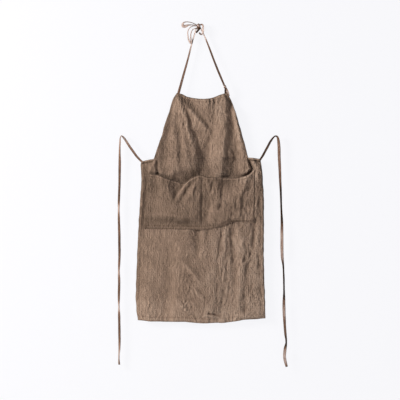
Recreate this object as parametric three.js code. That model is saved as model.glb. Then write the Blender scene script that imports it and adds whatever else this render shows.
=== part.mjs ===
// Linen bib apron, hanging by the bow of its neck ties.
// Millimetres, +Z up, front facing -Y. The origin is the knot of the bow, where the apron hangs.
// A "lift" is how far a point of the cloth stands out to the front, so y is minus the lift.
import * as THREE from "three";

// Driving sizes
const CLOTH = 1.2; // wall of one layer of washed linen
const HEM_LAYER = 1.2; // extra layer folded to the back along a hem
const SEAM_GAP = 0.9; // clear space between the pocket and the body along their seams
const SIDE_HEM = 13;
const ARMHOLE_HEM = 8;
const BIB_TOP_HEM = 15;
const WING_HEM = 11;
const BOTTOM_HEM = 18;
const HEM_STEP = 2; // run of the step from two layers to one
const TIE_WIDTH = 8.5;
const TIE_THICKNESS = 1.2;

// Grid density of the two cloths
const BIB_ROWS = 14;
const SKIRT_ROWS = 34;
const BODY_COLUMNS = 21;
const POCKET_COLUMNS = 26;
const POCKET_ROWS = 13;

// Outline of the bib and of the skirt: the side edges at each height
const BIB_SIDES = [
  { z: -244, left: -79, right: 106 },
  { z: -272, left: -96, right: 121 },
  { z: -302, left: -105, right: 132 },
  { z: -361, left: -124, right: 150 },
  { z: -420, left: -142, right: 167 },
  { z: -490, left: -166, right: 185 },
];
const SKIRT_SIDES = [
  { z: -490, left: -207, right: 229 },
  { z: -512, left: -213, right: 233 },
  { z: -568, left: -211, right: 238 },
  { z: -642, left: -216, right: 242 },
  { z: -746, left: -222, right: 242 },
  { z: -871, left: -228, right: 242 },
  { z: -997, left: -232, right: 246 },
  { z: -1042, left: -230, right: 247 },
  { z: -1095, left: -224, right: 248 },
];

// Level edges: the height at each share of the width, from the left edge to the right
const BIB_TOP = [
  { share: 0, z: -246 },
  { share: 0.12, z: -250 },
  { share: 0.24, z: -260 },
  { share: 0.5, z: -268 },
  { share: 0.66, z: -265 },
  { share: 0.82, z: -254 },
  { share: 1, z: -244 },
];
const WAIST = [
  { share: 0, z: -500 },
  { share: 0.094, z: -491 },
  { share: 0.5, z: -488 },
  { share: 0.899, z: -485 },
  { share: 1, z: -490 },
];
const HEM_LINE = [
  { share: 0, z: -1086 },
  { share: 0.1, z: -1091 },
  { share: 0.36, z: -1093 },
  { share: 0.5, z: -1098 },
  { share: 0.62, z: -1097 },
  { share: 0.72, z: -1094 },
  { share: 0.84, z: -1085 },
  { share: 1, z: -1080 },
];
const ARMHOLE_LEFT = 0.094; // shares of the waist where the armholes end
const ARMHOLE_RIGHT = 0.899;

// How far the cloth stands out at each height, and how far its sides roll back
const BODY_LIFT = [
  { z: -244, lift: 9, roll: 3 },
  { z: -380, lift: 10, roll: 4 },
  { z: -490, lift: 11, roll: 5 },
  { z: -600, lift: 13, roll: 6 },
  { z: -760, lift: 13, roll: 7 },
  { z: -950, lift: 12, roll: 8 },
  { z: -1098, lift: 11, roll: 8 },
];
const ROLL_RUN = 38; // distance from a side edge over which the cloth rolls back

// Folds of the bib: each runs from its first end to its second, half as wide to each side as given.
// A positive lift is a ridge and a negative one a valley.
const BIB_FOLDS = [
  { name: "corner diagonal valley", x0: -66, z0: -256, half0: 9, x1: 42, z1: -374, half1: 12, lift: -10 },
  { name: "corner diagonal ridge", x0: -66, z0: -284, half0: 9, x1: 42, z1: -398, half1: 13, lift: 9 },
  { name: "centre drop valley", x0: 42, z0: -385, half0: 12, x1: 10, z1: -560, half1: 15, lift: -8 },
  { name: "left deep valley", x0: -56, z0: -285, half0: 9, x1: -4, z1: -570, half1: 16, lift: -9 },
  { name: "left fan ridge", x0: -72, z0: -262, half0: 8, x1: -42, z1: -570, half1: 15, lift: 6 },
  { name: "left fan valley", x0: -78, z0: -266, half0: 8, x1: -82, z1: -520, half1: 11, lift: -5 },
  { name: "left outer ridge", x0: -82, z0: -265, half0: 8, x1: -116, z1: -545, half1: 16, lift: 5 },
  { name: "bib plane ridge", x0: 62, z0: -290, half0: 20, x1: 62, z1: -575, half1: 28, lift: 6 },
  { name: "right deep valley", x0: 102, z0: -252, half0: 9, x1: 119, z1: -575, half1: 17, lift: -12 },
  { name: "right edge ridge", x0: 118, z0: -290, half0: 9, x1: 166, z1: -520, half1: 15, lift: 6 },
];

// Pleats where the waist wings leave the bib
const WING_FOLDS = [
  { name: "right wing lip", x0: 198, z0: -484, half0: 13, x1: 218, z1: -640, half1: 16, lift: 9 },
  { name: "right wing recess", x0: 178, z0: -476, half0: 9, x1: 192, z1: -556, half1: 10, lift: -9 },
  { name: "left wing lip", x0: -170, z0: -486, half0: 10, x1: -186, z1: -600, half1: 12, lift: 5 },
  { name: "left wing recess", x0: -152, z0: -480, half0: 8, x1: -150, z1: -560, half1: 9, lift: -5 },
];

// Folds of the skirt below the pocket
const SKIRT_FOLDS = [
  { name: "centre valley", x0: -13, z0: -748, half0: 10, x1: -4, z1: -850, half1: 10, lift: -6 },
  { name: "centre ridge", x0: 50, z0: -760, half0: 14, x1: 42, z1: -1040, half1: 18, lift: 6 },
  { name: "right long valley", x0: 114, z0: -735, half0: 11, x1: 128, z1: -985, half1: 13, lift: -9 },
  { name: "right ridge", x0: 152, z0: -755, half0: 14, x1: 146, z1: -1098, half1: 17, lift: 7 },
  { name: "pocket corner valley", x0: 206, z0: -725, half0: 9, x1: 178, z1: -890, half1: 10, lift: -7 },
  { name: "right side ridge", x0: 216, z0: -780, half0: 12, x1: 208, z1: -1040, half1: 15, lift: 5 },
  { name: "hem curl valley", x0: 96, z0: -950, half0: 10, x1: 66, z1: -1110, half1: 15, lift: -9 },
  { name: "left side ridge", x0: -168, z0: -765, half0: 18, x1: -186, z1: -1098, half1: 24, lift: 5 },
  { name: "left valley", x0: -118, z0: -775, half0: 15, x1: -128, z1: -1098, half1: 20, lift: -5 },
  { name: "left middle ridge", x0: -66, z0: -770, half0: 16, x1: -58, z1: -1098, half1: 22, lift: 5 },
  { name: "slanting valley", x0: -48, z0: -875, half0: 9, x1: 26, z1: -1030, half1: 11, lift: -5 },
];

// Pocket: its side edges, its top edge and its bottom seam
const POCKET_SIDES = [
  { z: -520, left: -173, right: 207 },
  { z: -640, left: -186, right: 206 },
  { z: -755, left: -198, right: 204 },
];
const POCKET_TOP = [
  { share: 0, z: -544 },
  { share: 0.07, z: -547 },
  { share: 0.16, z: -560 },
  { share: 0.26, z: -573 },
  { share: 0.33, z: -577 },
  { share: 0.39, z: -560 },
  { share: 0.49, z: -551 },
  { share: 0.53, z: -557 },
  { share: 0.78, z: -560 },
  { share: 0.88, z: -557 },
  { share: 0.955, z: -546 },
  { share: 1, z: -526 },
];
const POCKET_SEAM = [
  { share: 0, z: -743 },
  { share: 0.45, z: -746 },
  { share: 0.51, z: -750 },
  { share: 0.62, z: -745 },
  { share: 0.8, z: -737 },
  { share: 1, z: -734 },
];

// How far the pocket stands off the body: at its mouth, and in the belly over its bottom seam
const POCKET_GAPE = [
  { share: 0, mouth: 0, belly: 0 },
  { share: 0.12, mouth: 10, belly: 10 },
  { share: 0.25, mouth: 18, belly: 16 },
  { share: 0.37, mouth: 19, belly: 16 },
  { share: 0.44, mouth: 9, belly: 9 },
  { share: 0.49, mouth: 0, belly: 0 },
  { share: 0.56, mouth: 11, belly: 11 },
  { share: 0.68, mouth: 17, belly: 16 },
  { share: 0.82, mouth: 18, belly: 16 },
  { share: 0.93, mouth: 22, belly: 7 },
  { share: 1, mouth: 0, belly: 0 },
];
const POCKET_FOLDS = [
  { name: "left lap ridge", x0: -32, z0: -560, half0: 10, x1: -90, z1: -655, half1: 12, lift: 6 },
  { name: "left lap valley", x0: -66, z0: -566, half0: 9, x1: -104, z1: -650, half1: 9, lift: -7 },
  { name: "right hanging valley", x0: 72, z0: -556, half0: 9, x1: 82, z1: -660, half1: 8, lift: -5 },
  { name: "right small valley", x0: 116, z0: -556, half0: 7, x1: 100, z1: -650, half1: 7, lift: -4 },
  { name: "right corner valley", x0: 196, z0: -540, half0: 7, x1: 146, z1: -690, half1: 10, lift: -6 },
  { name: "right corner ridge", x0: 184, z0: -540, half0: 7, x1: 128, z1: -680, half1: 11, lift: 4 },
];

// Paths of the tapes. Roll turns the face of the tape away from the front, in degrees, and wide is
// a share of the tie width.
const NECK_TIE_LEFT = [
  { x: -74, z: -242.5, lift: 9, roll: 8, wide: 1.1 },
  { x: -65, z: -200, lift: 8, roll: 12, wide: 1 },
  { x: -54, z: -159, lift: 6, roll: 20, wide: 1 },
  { x: -42, z: -115, lift: 4, roll: 30, wide: 0.95 },
  { x: -30, z: -70, lift: 2, roll: 42, wide: 0.85 },
  { x: -19, z: -32, lift: 1, roll: 55, wide: 0.75 },
  { x: -10.5, z: -9, lift: 0, roll: 60, wide: 0.6 },
];
const NECK_TIE_RIGHT = [
  { x: 94.5, z: -216, lift: 12, roll: 10, wide: 0.7 },
  { x: 87, z: -198, lift: 11, roll: 14, wide: 1 },
  { x: 73, z: -165, lift: 9, roll: 22, wide: 1 },
  { x: 57, z: -124, lift: 6, roll: 35, wide: 0.95 },
  { x: 41, z: -81, lift: 4, roll: 48, wide: 0.85 },
  { x: 26, z: -43, lift: 2, roll: 58, wide: 0.75 },
  { x: 10.5, z: -9, lift: 0, roll: 62, wide: 0.6 },
];
const CORNER_LOOP = [
  { x: 93, z: -245, lift: 9, roll: 50, wide: 0.7 },
  { x: 94.5, z: -239, lift: 10, roll: 50, wide: 0.7 },
  { x: 97.5, z: -233.5, lift: 10, roll: 50, wide: 0.7 },
  { x: 102, z: -232, lift: 10, roll: 50, wide: 0.7 },
  { x: 106, z: -234.5, lift: 10, roll: 50, wide: 0.7 },
  { x: 108.5, z: -239.5, lift: 10, roll: 50, wide: 0.7 },
];
const BOW_LOOP_UPPER = [
  { x: -9.5, z: 8, lift: 2, roll: 55, wide: 0.5 },
  { x: -22, z: 15, lift: 4, roll: 60, wide: 0.75 },
  { x: -39, z: 18, lift: 5, roll: 60, wide: 0.9 },
  { x: -52, z: 17, lift: 6, roll: 58, wide: 1 },
  { x: -60, z: 9, lift: 7, roll: 50, wide: 1 },
  { x: -58, z: 0, lift: 8, roll: 35, wide: 1 },
  { x: -49, z: -1, lift: 9, roll: 25, wide: 1 },
  { x: -37, z: 3, lift: 9, roll: 35, wide: 0.9 },
  { x: -24, z: 5, lift: 8, roll: 50, wide: 0.75 },
  { x: -11, z: 4, lift: 5, roll: 55, wide: 0.5 },
];
const BOW_LOOP_LOWER = [
  { x: -10.5, z: -1, lift: 5.5, roll: 55, wide: 0.45 },
  { x: -27, z: -3, lift: 9, roll: 60, wide: 0.75 },
  { x: -37, z: -11, lift: 11, roll: 62, wide: 0.9 },
  { x: -41, z: -23, lift: 12, roll: 62, wide: 1 },
  { x: -39, z: -40, lift: 12, roll: 62, wide: 1 },
  { x: -34.5, z: -55, lift: 12, roll: 62, wide: 1 },
  { x: -29.5, z: -63, lift: 12, roll: 62, wide: 1 },
  { x: -26, z: -56, lift: 12, roll: 62, wide: 1 },
  { x: -27, z: -37, lift: 12, roll: 62, wide: 0.9 },
  { x: -25, z: -22, lift: 11, roll: 60, wide: 0.8 },
  { x: -20, z: -12, lift: 9, roll: 55, wide: 0.65 },
  { x: -9.5, z: -7, lift: 6.5, roll: 50, wide: 0.45 },
];
const BOW_TAIL_LONG = [
  { x: 9.5, z: 6, lift: 2, roll: 50, wide: 0.55 },
  { x: 14.5, z: 3, lift: 4, roll: 60, wide: 0.8 },
  { x: 17, z: -5, lift: 6, roll: 62, wide: 0.9 },
  { x: 16.5, z: -16, lift: 8, roll: 62, wide: 0.9 },
  { x: 14.5, z: -26, lift: 9, roll: 60, wide: 0.9 },
  { x: 9, z: -31, lift: 10, roll: 60, wide: 0.9 },
  { x: 3.5, z: -27, lift: 10, roll: 60, wide: 0.9 },
];
const BOW_TAIL_SHORT = [
  { x: 1, z: -13, lift: 4, roll: 30, wide: 0.6 },
  { x: -2, z: -18, lift: 5, roll: 30, wide: 0.8 },
  { x: -7, z: -26, lift: 6, roll: 25, wide: 0.8 },
];
const WAIST_TIE_LEFT = [
  { x: -212.5, z: -497, lift: 7, roll: 25, wide: 1 },
  { x: -229, z: -480, lift: 8, roll: 20, wide: 1 },
  { x: -240, z: -465, lift: 9, roll: 10, wide: 1 },
  { x: -253, z: -447, lift: 9, roll: 5, wide: 1 },
  { x: -268, z: -424, lift: 9, roll: 15, wide: 1 },
  { x: -279, z: -409, lift: 8, roll: 40, wide: 0.9 },
  { x: -286, z: -404, lift: 7, roll: 65, wide: 0.9 },
  { x: -290, z: -412, lift: 6, roll: 60, wide: 0.9 },
  { x: -291, z: -428, lift: 6, roll: 50, wide: 0.9 },
  { x: -292, z: -458, lift: 6, roll: 55, wide: 1 },
  { x: -292, z: -512, lift: 6, roll: 20, wide: 1 },
  { x: -293, z: -586, lift: 6, roll: -10, wide: 1 },
  { x: -294, z: -660, lift: 6, roll: 5, wide: 1 },
  { x: -295, z: -716, lift: 6, roll: 15, wide: 1 },
  { x: -294, z: -790, lift: 6, roll: 0, wide: 1 },
  { x: -293, z: -864, lift: 6, roll: -15, wide: 1 },
  { x: -295, z: -919, lift: 6, roll: 0, wide: 1 },
  { x: -294, z: -975, lift: 6, roll: 20, wide: 1 },
  { x: -295, z: -1030, lift: 6, roll: 50, wide: 1 },
  { x: -294, z: -1086, lift: 6, roll: 25, wide: 1 },
  { x: -293, z: -1141, lift: 6, roll: 10, wide: 1 },
  { x: -293, z: -1190, lift: 6, roll: 35, wide: 1 },
  { x: -295, z: -1223, lift: 6, roll: 60, wide: 1 },
  { x: -294, z: -1252, lift: 6, roll: 40, wide: 1 },
];
const WAIST_TIE_RIGHT = [
  { x: 233, z: -485.5, lift: 10, roll: 30, wide: 1 },
  { x: 239, z: -476, lift: 11, roll: 20, wide: 1 },
  { x: 247, z: -461, lift: 11, roll: 15, wide: 1 },
  { x: 257, z: -443, lift: 11, roll: 20, wide: 1 },
  { x: 266, z: -426, lift: 10, roll: 25, wide: 1 },
  { x: 276, z: -412, lift: 9, roll: 45, wide: 0.9 },
  { x: 285, z: -405, lift: 7, roll: 65, wide: 0.9 },
  { x: 292, z: -408, lift: 6, roll: 65, wide: 0.9 },
  { x: 296, z: -421, lift: 6, roll: 55, wide: 0.9 },
  { x: 299, z: -443, lift: 6, roll: 40, wide: 1 },
  { x: 300, z: -479, lift: 6, roll: 20, wide: 1 },
  { x: 301, z: -524, lift: 6, roll: 10, wide: 1 },
  { x: 303, z: -575, lift: 6, roll: -5, wide: 1 },
  { x: 305, z: -635, lift: 6, roll: -15, wide: 1 },
  { x: 309, z: -694, lift: 6, roll: 0, wide: 1 },
  { x: 310, z: -753, lift: 6, roll: 15, wide: 1 },
  { x: 309, z: -805, lift: 6, roll: 30, wide: 1 },
  { x: 313, z: -857, lift: 6, roll: 15, wide: 1 },
  { x: 317, z: -908, lift: 6, roll: 0, wide: 1 },
  { x: 318, z: -968, lift: 6, roll: -10, wide: 1 },
  { x: 319, z: -1027, lift: 6, roll: 0, wide: 1 },
  { x: 320, z: -1086, lift: 6, roll: 15, wide: 1 },
  { x: 323, z: -1138, lift: 6, roll: 30, wide: 1 },
  { x: 326, z: -1171, lift: 7, roll: 45, wide: 1 },
  { x: 322, z: -1197, lift: 8, roll: 50, wide: 1 },
  { x: 320, z: -1219, lift: 8, roll: 45, wide: 1 },
  { x: 322, z: -1238, lift: 7, roll: 35, wide: 1 },
  { x: 327, z: -1260, lift: 6, roll: 25, wide: 1 },
];
const WAIST_TIE_STEPS = 58;
const NECK_TIE_STEPS = 16;
const BOW_STEPS = 26;

// Half sizes of the two knots, and where the corner knot sits
const BOW_KNOT = { x: 8, y: 7, z: 10.5 };
const CORNER_KNOT = { x: 5, y: 5, z: 6.5 };
const CORNER_KNOT_AT = { x: 98, z: -223.5, lift: 11 };

// Colours of the cloth and of the tapes
const LINEN = new THREE.MeshStandardMaterial({ name: "linen", color: 0x8b7464, roughness: 0.95 });
const TAPE = new THREE.MeshStandardMaterial({ name: "linen_tape", color: 0x7d6252, roughness: 0.95 });

function smooth(from, to, value) {
  const t = Math.min(1, Math.max(0, (value - from) / (to - from)));
  return t * t * (3 - 2 * t);
}

// A value of a table at a place along its first column, eased by a curve through its rows
function readTable(rows, along, column, at) {
  const up = rows[rows.length - 1][along] > rows[0][along];
  const list = up ? rows : [...rows].reverse();
  const last = list.length - 1;
  if (at <= list[0][along]) return list[0][column];
  if (at >= list[last][along]) return list[last][column];
  const i = list.findIndex((row) => row[along] > at) - 1;
  const slope = (k) => {
    if (k === 0 || k === last) return 0;
    const run = list[k + 1][along] - list[k - 1][along];
    return (list[k + 1][column] - list[k - 1][column]) / run;
  };
  const a = list[i];
  const b = list[i + 1];
  const run = b[along] - a[along];
  const t = (at - a[along]) / run;
  const rise = b[column] - a[column];
  const first = i === 0 ? rise / run : slope(i);
  const second = i + 1 === last ? rise / run : slope(i + 1);
  const bend = t * (1 - t) * ((1 - t) * (first * run - rise) + t * (rise - second * run));
  return a[column] + rise * t + bend;
}

// Sum of the folds of a table at a place on the front
function foldLift(folds, x, z) {
  let sum = 0;
  for (const fold of folds) {
    const length = Math.hypot(fold.x1 - fold.x0, fold.z1 - fold.z0);
    const ux = (fold.x1 - fold.x0) / length;
    const uz = (fold.z1 - fold.z0) / length;
    const along = ((x - fold.x0) * ux + (z - fold.z0) * uz) / length;
    const across = (x - fold.x0) * uz - (z - fold.z0) * ux;
    const t = Math.min(1, Math.max(0, along));
    const half = fold.half0 + (fold.half1 - fold.half0) * t;
    const ends = smooth(-0.06, 0.2, along) * smooth(1.06, 0.8, along);
    sum += fold.lift * ends * Math.exp(-((across / half) ** 2));
  }
  return sum;
}

// The body without its folds, which is also what the pocket is sewn to
function plainLift(x, z) {
  const sides = z > -488 ? BIB_SIDES : SKIRT_SIDES;
  const left = x - readTable(sides, "z", "left", z);
  const right = readTable(sides, "z", "right", z) - x;
  const near = Math.max(0, Math.min(left, right));
  const rolled = readTable(BODY_LIFT, "z", "roll", z) * (1 - smooth(0, ROLL_RUN, near));
  return readTable(BODY_LIFT, "z", "lift", z) - rolled;
}

function bodyLift(x, z) {
  const aboveSeam = 1 - smooth(-548, -600, z);
  const belowSeam = smooth(-752, -790, z);
  const bib = foldLift(BIB_FOLDS, x, z) * aboveSeam;
  const skirt = foldLift(SKIRT_FOLDS, x, z) * belowSeam;
  return plainLift(x, z) + bib + skirt + foldLift(WING_FOLDS, x, z);
}

// A closed wall round a grid of middle points. The cloth is there where hasCell says so, and
// layers gives how far its front and back lie from the middle.
function clothWall(name, material, columns, rows, hasCell, middle, layers) {
  const inside = (c, r) => c >= 0 && r >= 0 && c < columns - 1 && r < rows - 1 && hasCell(c, r);
  const corners = (c, r) => [inside(c - 1, r - 1), inside(c, r - 1), inside(c - 1, r), inside(c, r)];
  const hasPoint = (c, r) => corners(c, r).some((cell) => cell);
  const points = [];
  for (let r = 0; r < rows; r += 1) {
    for (let c = 0; c < columns; c += 1) points.push(hasPoint(c, r) ? middle(c, r) : null);
  }
  const at = (c, r) => (c < 0 || r < 0 || c >= columns || r >= rows ? null : points[r * columns + c]);
  const positions = [];
  const index = new Map();
  for (let r = 0; r < rows; r += 1) {
    for (let c = 0; c < columns; c += 1) {
      const here = at(c, r);
      if (!here) continue;
      const across = (at(c + 1, r) ?? here).clone().sub(at(c - 1, r) ?? here);
      const down = (at(c, r + 1) ?? here).clone().sub(at(c, r - 1) ?? here);
      const normal = down.cross(across).normalize();
      const { front, back } = layers(c, r);
      index.set(r * columns + c, positions.length / 3);
      positions.push(...here.clone().addScaledVector(normal, front).toArray());
      positions.push(...here.clone().addScaledVector(normal, -back).toArray());
    }
  }
  const faces = [];
  const quad = (a, b, c, d) => faces.push(a, b, c, a, c, d);
  const front = (c, r) => index.get(r * columns + c);
  const back = (c, r) => front(c, r) + 1;
  const rim = (c0, r0, c1, r1) => quad(front(c0, r0), back(c0, r0), back(c1, r1), front(c1, r1));
  for (let r = 0; r < rows - 1; r += 1) {
    for (let c = 0; c < columns - 1; c += 1) {
      if (!inside(c, r)) continue;
      quad(front(c, r), front(c, r + 1), front(c + 1, r + 1), front(c + 1, r));
      quad(back(c, r), back(c + 1, r), back(c + 1, r + 1), back(c, r + 1));
      if (!inside(c - 1, r)) rim(c, r, c, r + 1);
      if (!inside(c + 1, r)) rim(c + 1, r + 1, c + 1, r);
      if (!inside(c, r - 1)) rim(c + 1, r, c, r);
      if (!inside(c, r + 1)) rim(c, r + 1, c + 1, r + 1);
    }
  }
  return namedMesh(name, material, positions, faces);
}

function namedMesh(name, material, positions, faces) {
  const geometry = new THREE.BufferGeometry();
  geometry.setAttribute("position", new THREE.Float32BufferAttribute(positions, 3));
  geometry.setIndex(faces);
  geometry.computeVertexNormals();
  const mesh = new THREE.Mesh(geometry, material);
  mesh.name = name;
  return mesh;
}

// A flat tape along a path of rows, with square edges
function tape(name, rows, steps) {
  const curve = new THREE.CatmullRomCurve3(rows.map((row) => new THREE.Vector3(row.x, -row.lift, row.z)));
  const read = (column, t) => {
    const place = t * (rows.length - 1);
    const i = Math.min(rows.length - 2, Math.floor(place));
    return THREE.MathUtils.lerp(rows[i][column], rows[i + 1][column], place - i);
  };
  const positions = [];
  const faces = [];
  for (let i = 0; i <= steps; i += 1) {
    const t = curve.getUtoTmapping(i / steps);
    const here = curve.getPoint(t);
    const along = curve.getTangent(t);
    const face = new THREE.Vector3(0, -1, 0).addScaledVector(along, along.y).normalize();
    face.applyAxisAngle(along, THREE.MathUtils.degToRad(read("roll", t)));
    const side = along.clone().cross(face).multiplyScalar((TIE_WIDTH / 2) * read("wide", t));
    face.multiplyScalar(TIE_THICKNESS / 2);
    for (const [w, f] of [[-1, 1], [1, 1], [1, -1], [-1, -1]]) {
      positions.push(...here.clone().addScaledVector(side, w).addScaledVector(face, f).toArray());
    }
  }
  const quad = (a, b, c, d) => faces.push(a, b, c, a, c, d);
  for (let i = 0; i < steps; i += 1) {
    for (let k = 0; k < 4; k += 1) {
      const next = (k + 1) % 4;
      quad(i * 4 + k, i * 4 + next, i * 4 + 4 + next, i * 4 + 4 + k);
    }
  }
  quad(3, 2, 1, 0);
  const end = steps * 4;
  quad(end, end + 1, end + 2, end + 3);
  return namedMesh(name, TAPE, positions, faces);
}

// A knot as a rounded lump with a groove where the tape wraps over itself
function knot(name, half, at) {
  const profile = [];
  for (let i = 0; i <= 10; i += 1) {
    const turn = Math.PI * (i / 10 - 0.5);
    const groove = 1 - 0.12 * Math.cos(turn * 2) ** 2;
    profile.push(new THREE.Vector2(i % 10 === 0 ? 0 : Math.cos(turn) * groove, Math.sin(turn)));
  }
  const geometry = new THREE.LatheGeometry(profile, 14);
  geometry.rotateX(Math.PI / 2);
  geometry.scale(half.x, half.y, half.z);
  geometry.translate(at.x, -at.lift, at.z);
  const mesh = new THREE.Mesh(geometry, TAPE);
  mesh.name = name;
  return mesh;
}

// Shares of the grid lines: a run of even steps, with the hem lines beside its ends
function gridLines(from, to, steps) {
  return Array.from({ length: steps + 1 }, (_, i) => from + ((to - from) * i) / steps);
}

// Body panel
const SKIRT_WIDTH = 450;
const hemShare = SIDE_HEM / SKIRT_WIDTH;
const stepShare = HEM_STEP / SKIRT_WIDTH;
const armholeShare = ARMHOLE_HEM / SKIRT_WIDTH;
const wingLeft = [0, hemShare, hemShare + stepShare, 0.064];
const wingRight = [0.936, 1 - hemShare - stepShare, 1 - hemShare, 1];
const firstLine = ARMHOLE_LEFT + armholeShare + stepShare;
const lastLine = ARMHOLE_RIGHT - armholeShare - stepShare;
const bodyColumns = [
  ...wingLeft,
  ARMHOLE_LEFT,
  ARMHOLE_LEFT + armholeShare,
  ...gridLines(firstLine, lastLine, BODY_COLUMNS),
  ARMHOLE_RIGHT - armholeShare,
  ARMHOLE_RIGHT,
  ...wingRight,
];
const bibLeft = wingLeft.length;
const bibRight = bodyColumns.length - 1 - wingRight.length;

const bibHeight = 230;
const skirtHeight = 600;
const bibHem = BIB_TOP_HEM / bibHeight;
const bibRows = [0, bibHem, ...gridLines(bibHem + HEM_STEP / bibHeight, 1, BIB_ROWS)];
const wingHem = WING_HEM / skirtHeight;
const bottomHem = 1 - BOTTOM_HEM / skirtHeight;
const skirtStep = HEM_STEP / skirtHeight;
const skirtRows = [wingHem, ...gridLines(wingHem + skirtStep, bottomHem - skirtStep, SKIRT_ROWS), bottomHem, 1];
const waistRow = bibRows.length - 1;
const bodyRowCount = bibRows.length + skirtRows.length;

function bodyPoint(c, r) {
  const share = bodyColumns[c];
  const waist = readTable(WAIST, "share", "z", share);
  let x;
  let z;
  if (r < waistRow) {
    const bibShare = (share - ARMHOLE_LEFT) / (ARMHOLE_RIGHT - ARMHOLE_LEFT);
    z = THREE.MathUtils.lerp(readTable(BIB_TOP, "share", "z", bibShare), waist, bibRows[r]);
    const left = readTable(BIB_SIDES, "z", "left", z);
    x = left + (readTable(BIB_SIDES, "z", "right", z) - left) * bibShare;
  } else {
    const down = r === waistRow ? 0 : skirtRows[r - waistRow - 1];
    z = THREE.MathUtils.lerp(waist, readTable(HEM_LINE, "share", "z", share), down);
    const left = readTable(SKIRT_SIDES, "z", "left", z);
    x = left + (readTable(SKIRT_SIDES, "z", "right", z) - left) * share;
  }
  return new THREE.Vector3(x, -bodyLift(x, z), z);
}

function bodyLayers(c, r) {
  const last = bodyColumns.length - 1;
  const onWing = c <= bibLeft || c >= bibRight;
  const sideHem = r >= waistRow && (c <= 1 || c >= last - 1);
  const wingTop = onWing && (r === waistRow || r === waistRow + 1);
  const bottom = r >= bodyRowCount - 2;
  const armhole = r <= waistRow && (c <= bibLeft + 1 || c >= bibRight - 1);
  const bibTop = r <= 1;
  const hemmed = sideHem || wingTop || bottom || armhole || bibTop;
  return { front: CLOTH / 2, back: CLOTH / 2 + (hemmed ? HEM_LAYER : 0) };
}

const bodyHasCell = (c, r) => r >= waistRow || (c >= bibLeft && c < bibRight);
const bodyPanel = clothWall(
  "body_panel", LINEN, bodyColumns.length, bodyRowCount, bodyHasCell, bodyPoint, bodyLayers,
);

// Pocket panel, sewn to the body along its sides, its middle and its bottom
const pocketLines = gridLines(0, 1, POCKET_COLUMNS);
const pocketDown = [0, 0.07, ...gridLines(0.085, 0.8, POCKET_ROWS - 5), 0.87, 0.93, 0.97, 1];

function pocketPoint(c, r) {
  const share = pocketLines[c];
  const down = pocketDown[r];
  const top = readTable(POCKET_TOP, "share", "z", share);
  const z = THREE.MathUtils.lerp(top, readTable(POCKET_SEAM, "share", "z", share), down);
  const left = readTable(POCKET_SIDES, "z", "left", z);
  const x = left + (readTable(POCKET_SIDES, "z", "right", z) - left) * share;
  const mouth = readTable(POCKET_GAPE, "share", "mouth", share) * (1 - down) ** 1.3;
  const belly = readTable(POCKET_GAPE, "share", "belly", share) * smooth(0, 0.65, down) * smooth(1, 0.86, down);
  const free = smooth(0, 0.1, share) * smooth(1, 0.94, share) * smooth(1, 0.85, down);
  const middle = smooth(0.02, 0.07, Math.abs(share - 0.49));
  const folds = foldLift(POCKET_FOLDS, x, z) * free * middle;
  const base = Math.max(plainLift(x, z), bodyLift(x, z));
  const lift = base + CLOTH + SEAM_GAP + Math.max(0, mouth + belly + folds);
  return new THREE.Vector3(x, -lift, z);
}

function pocketLayers(c, r) {
  return { front: CLOTH / 2, back: CLOTH / 2 + (r <= 1 ? HEM_LAYER * 0.3 : 0) };
}

const pocketPanel = clothWall(
  "pocket_panel", LINEN, pocketLines.length, pocketDown.length, () => true, pocketPoint, pocketLayers,
);

const apron = new THREE.Group();
apron.name = "linen_apron";
apron.add(
  bodyPanel,
  pocketPanel,
  tape("neck_tie_left", NECK_TIE_LEFT, NECK_TIE_STEPS),
  tape("neck_tie_right", NECK_TIE_RIGHT, NECK_TIE_STEPS),
  tape("corner_loop", CORNER_LOOP, NECK_TIE_STEPS),
  knot("corner_knot", CORNER_KNOT, CORNER_KNOT_AT),
  knot("bow_knot", BOW_KNOT, { x: 0, z: 0, lift: 0 }),
  tape("bow_loop_upper", BOW_LOOP_UPPER, BOW_STEPS),
  tape("bow_loop_lower", BOW_LOOP_LOWER, BOW_STEPS),
  tape("bow_tail_long", BOW_TAIL_LONG, NECK_TIE_STEPS),
  tape("bow_tail_short", BOW_TAIL_SHORT, 6),
  tape("waist_tie_left", WAIST_TIE_LEFT, WAIST_TIE_STEPS),
  tape("waist_tie_right", WAIST_TIE_RIGHT, WAIST_TIE_STEPS),
);

export default apron;
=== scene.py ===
import math
from collections import namedtuple

import bmesh
import bpy
import numpy as np
from mathutils import Matrix, Vector


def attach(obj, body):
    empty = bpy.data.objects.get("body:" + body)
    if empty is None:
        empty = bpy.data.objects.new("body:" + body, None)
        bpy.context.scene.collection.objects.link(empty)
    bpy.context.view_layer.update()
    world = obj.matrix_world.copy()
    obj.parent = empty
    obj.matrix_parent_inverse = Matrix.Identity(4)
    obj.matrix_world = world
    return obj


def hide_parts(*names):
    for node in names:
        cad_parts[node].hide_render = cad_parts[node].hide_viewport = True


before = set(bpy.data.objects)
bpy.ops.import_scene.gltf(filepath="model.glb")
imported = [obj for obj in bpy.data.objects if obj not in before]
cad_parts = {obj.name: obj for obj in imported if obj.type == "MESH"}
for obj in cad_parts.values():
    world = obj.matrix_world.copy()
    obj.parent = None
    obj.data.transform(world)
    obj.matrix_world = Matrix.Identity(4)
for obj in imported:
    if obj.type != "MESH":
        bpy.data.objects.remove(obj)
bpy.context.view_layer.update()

# A washed-linen bib apron. Tables are in millimetres with z up; a "lift" is how far a point of the
# cloth stands out to the front, so y is minus the lift.
MM = 0.001

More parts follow.
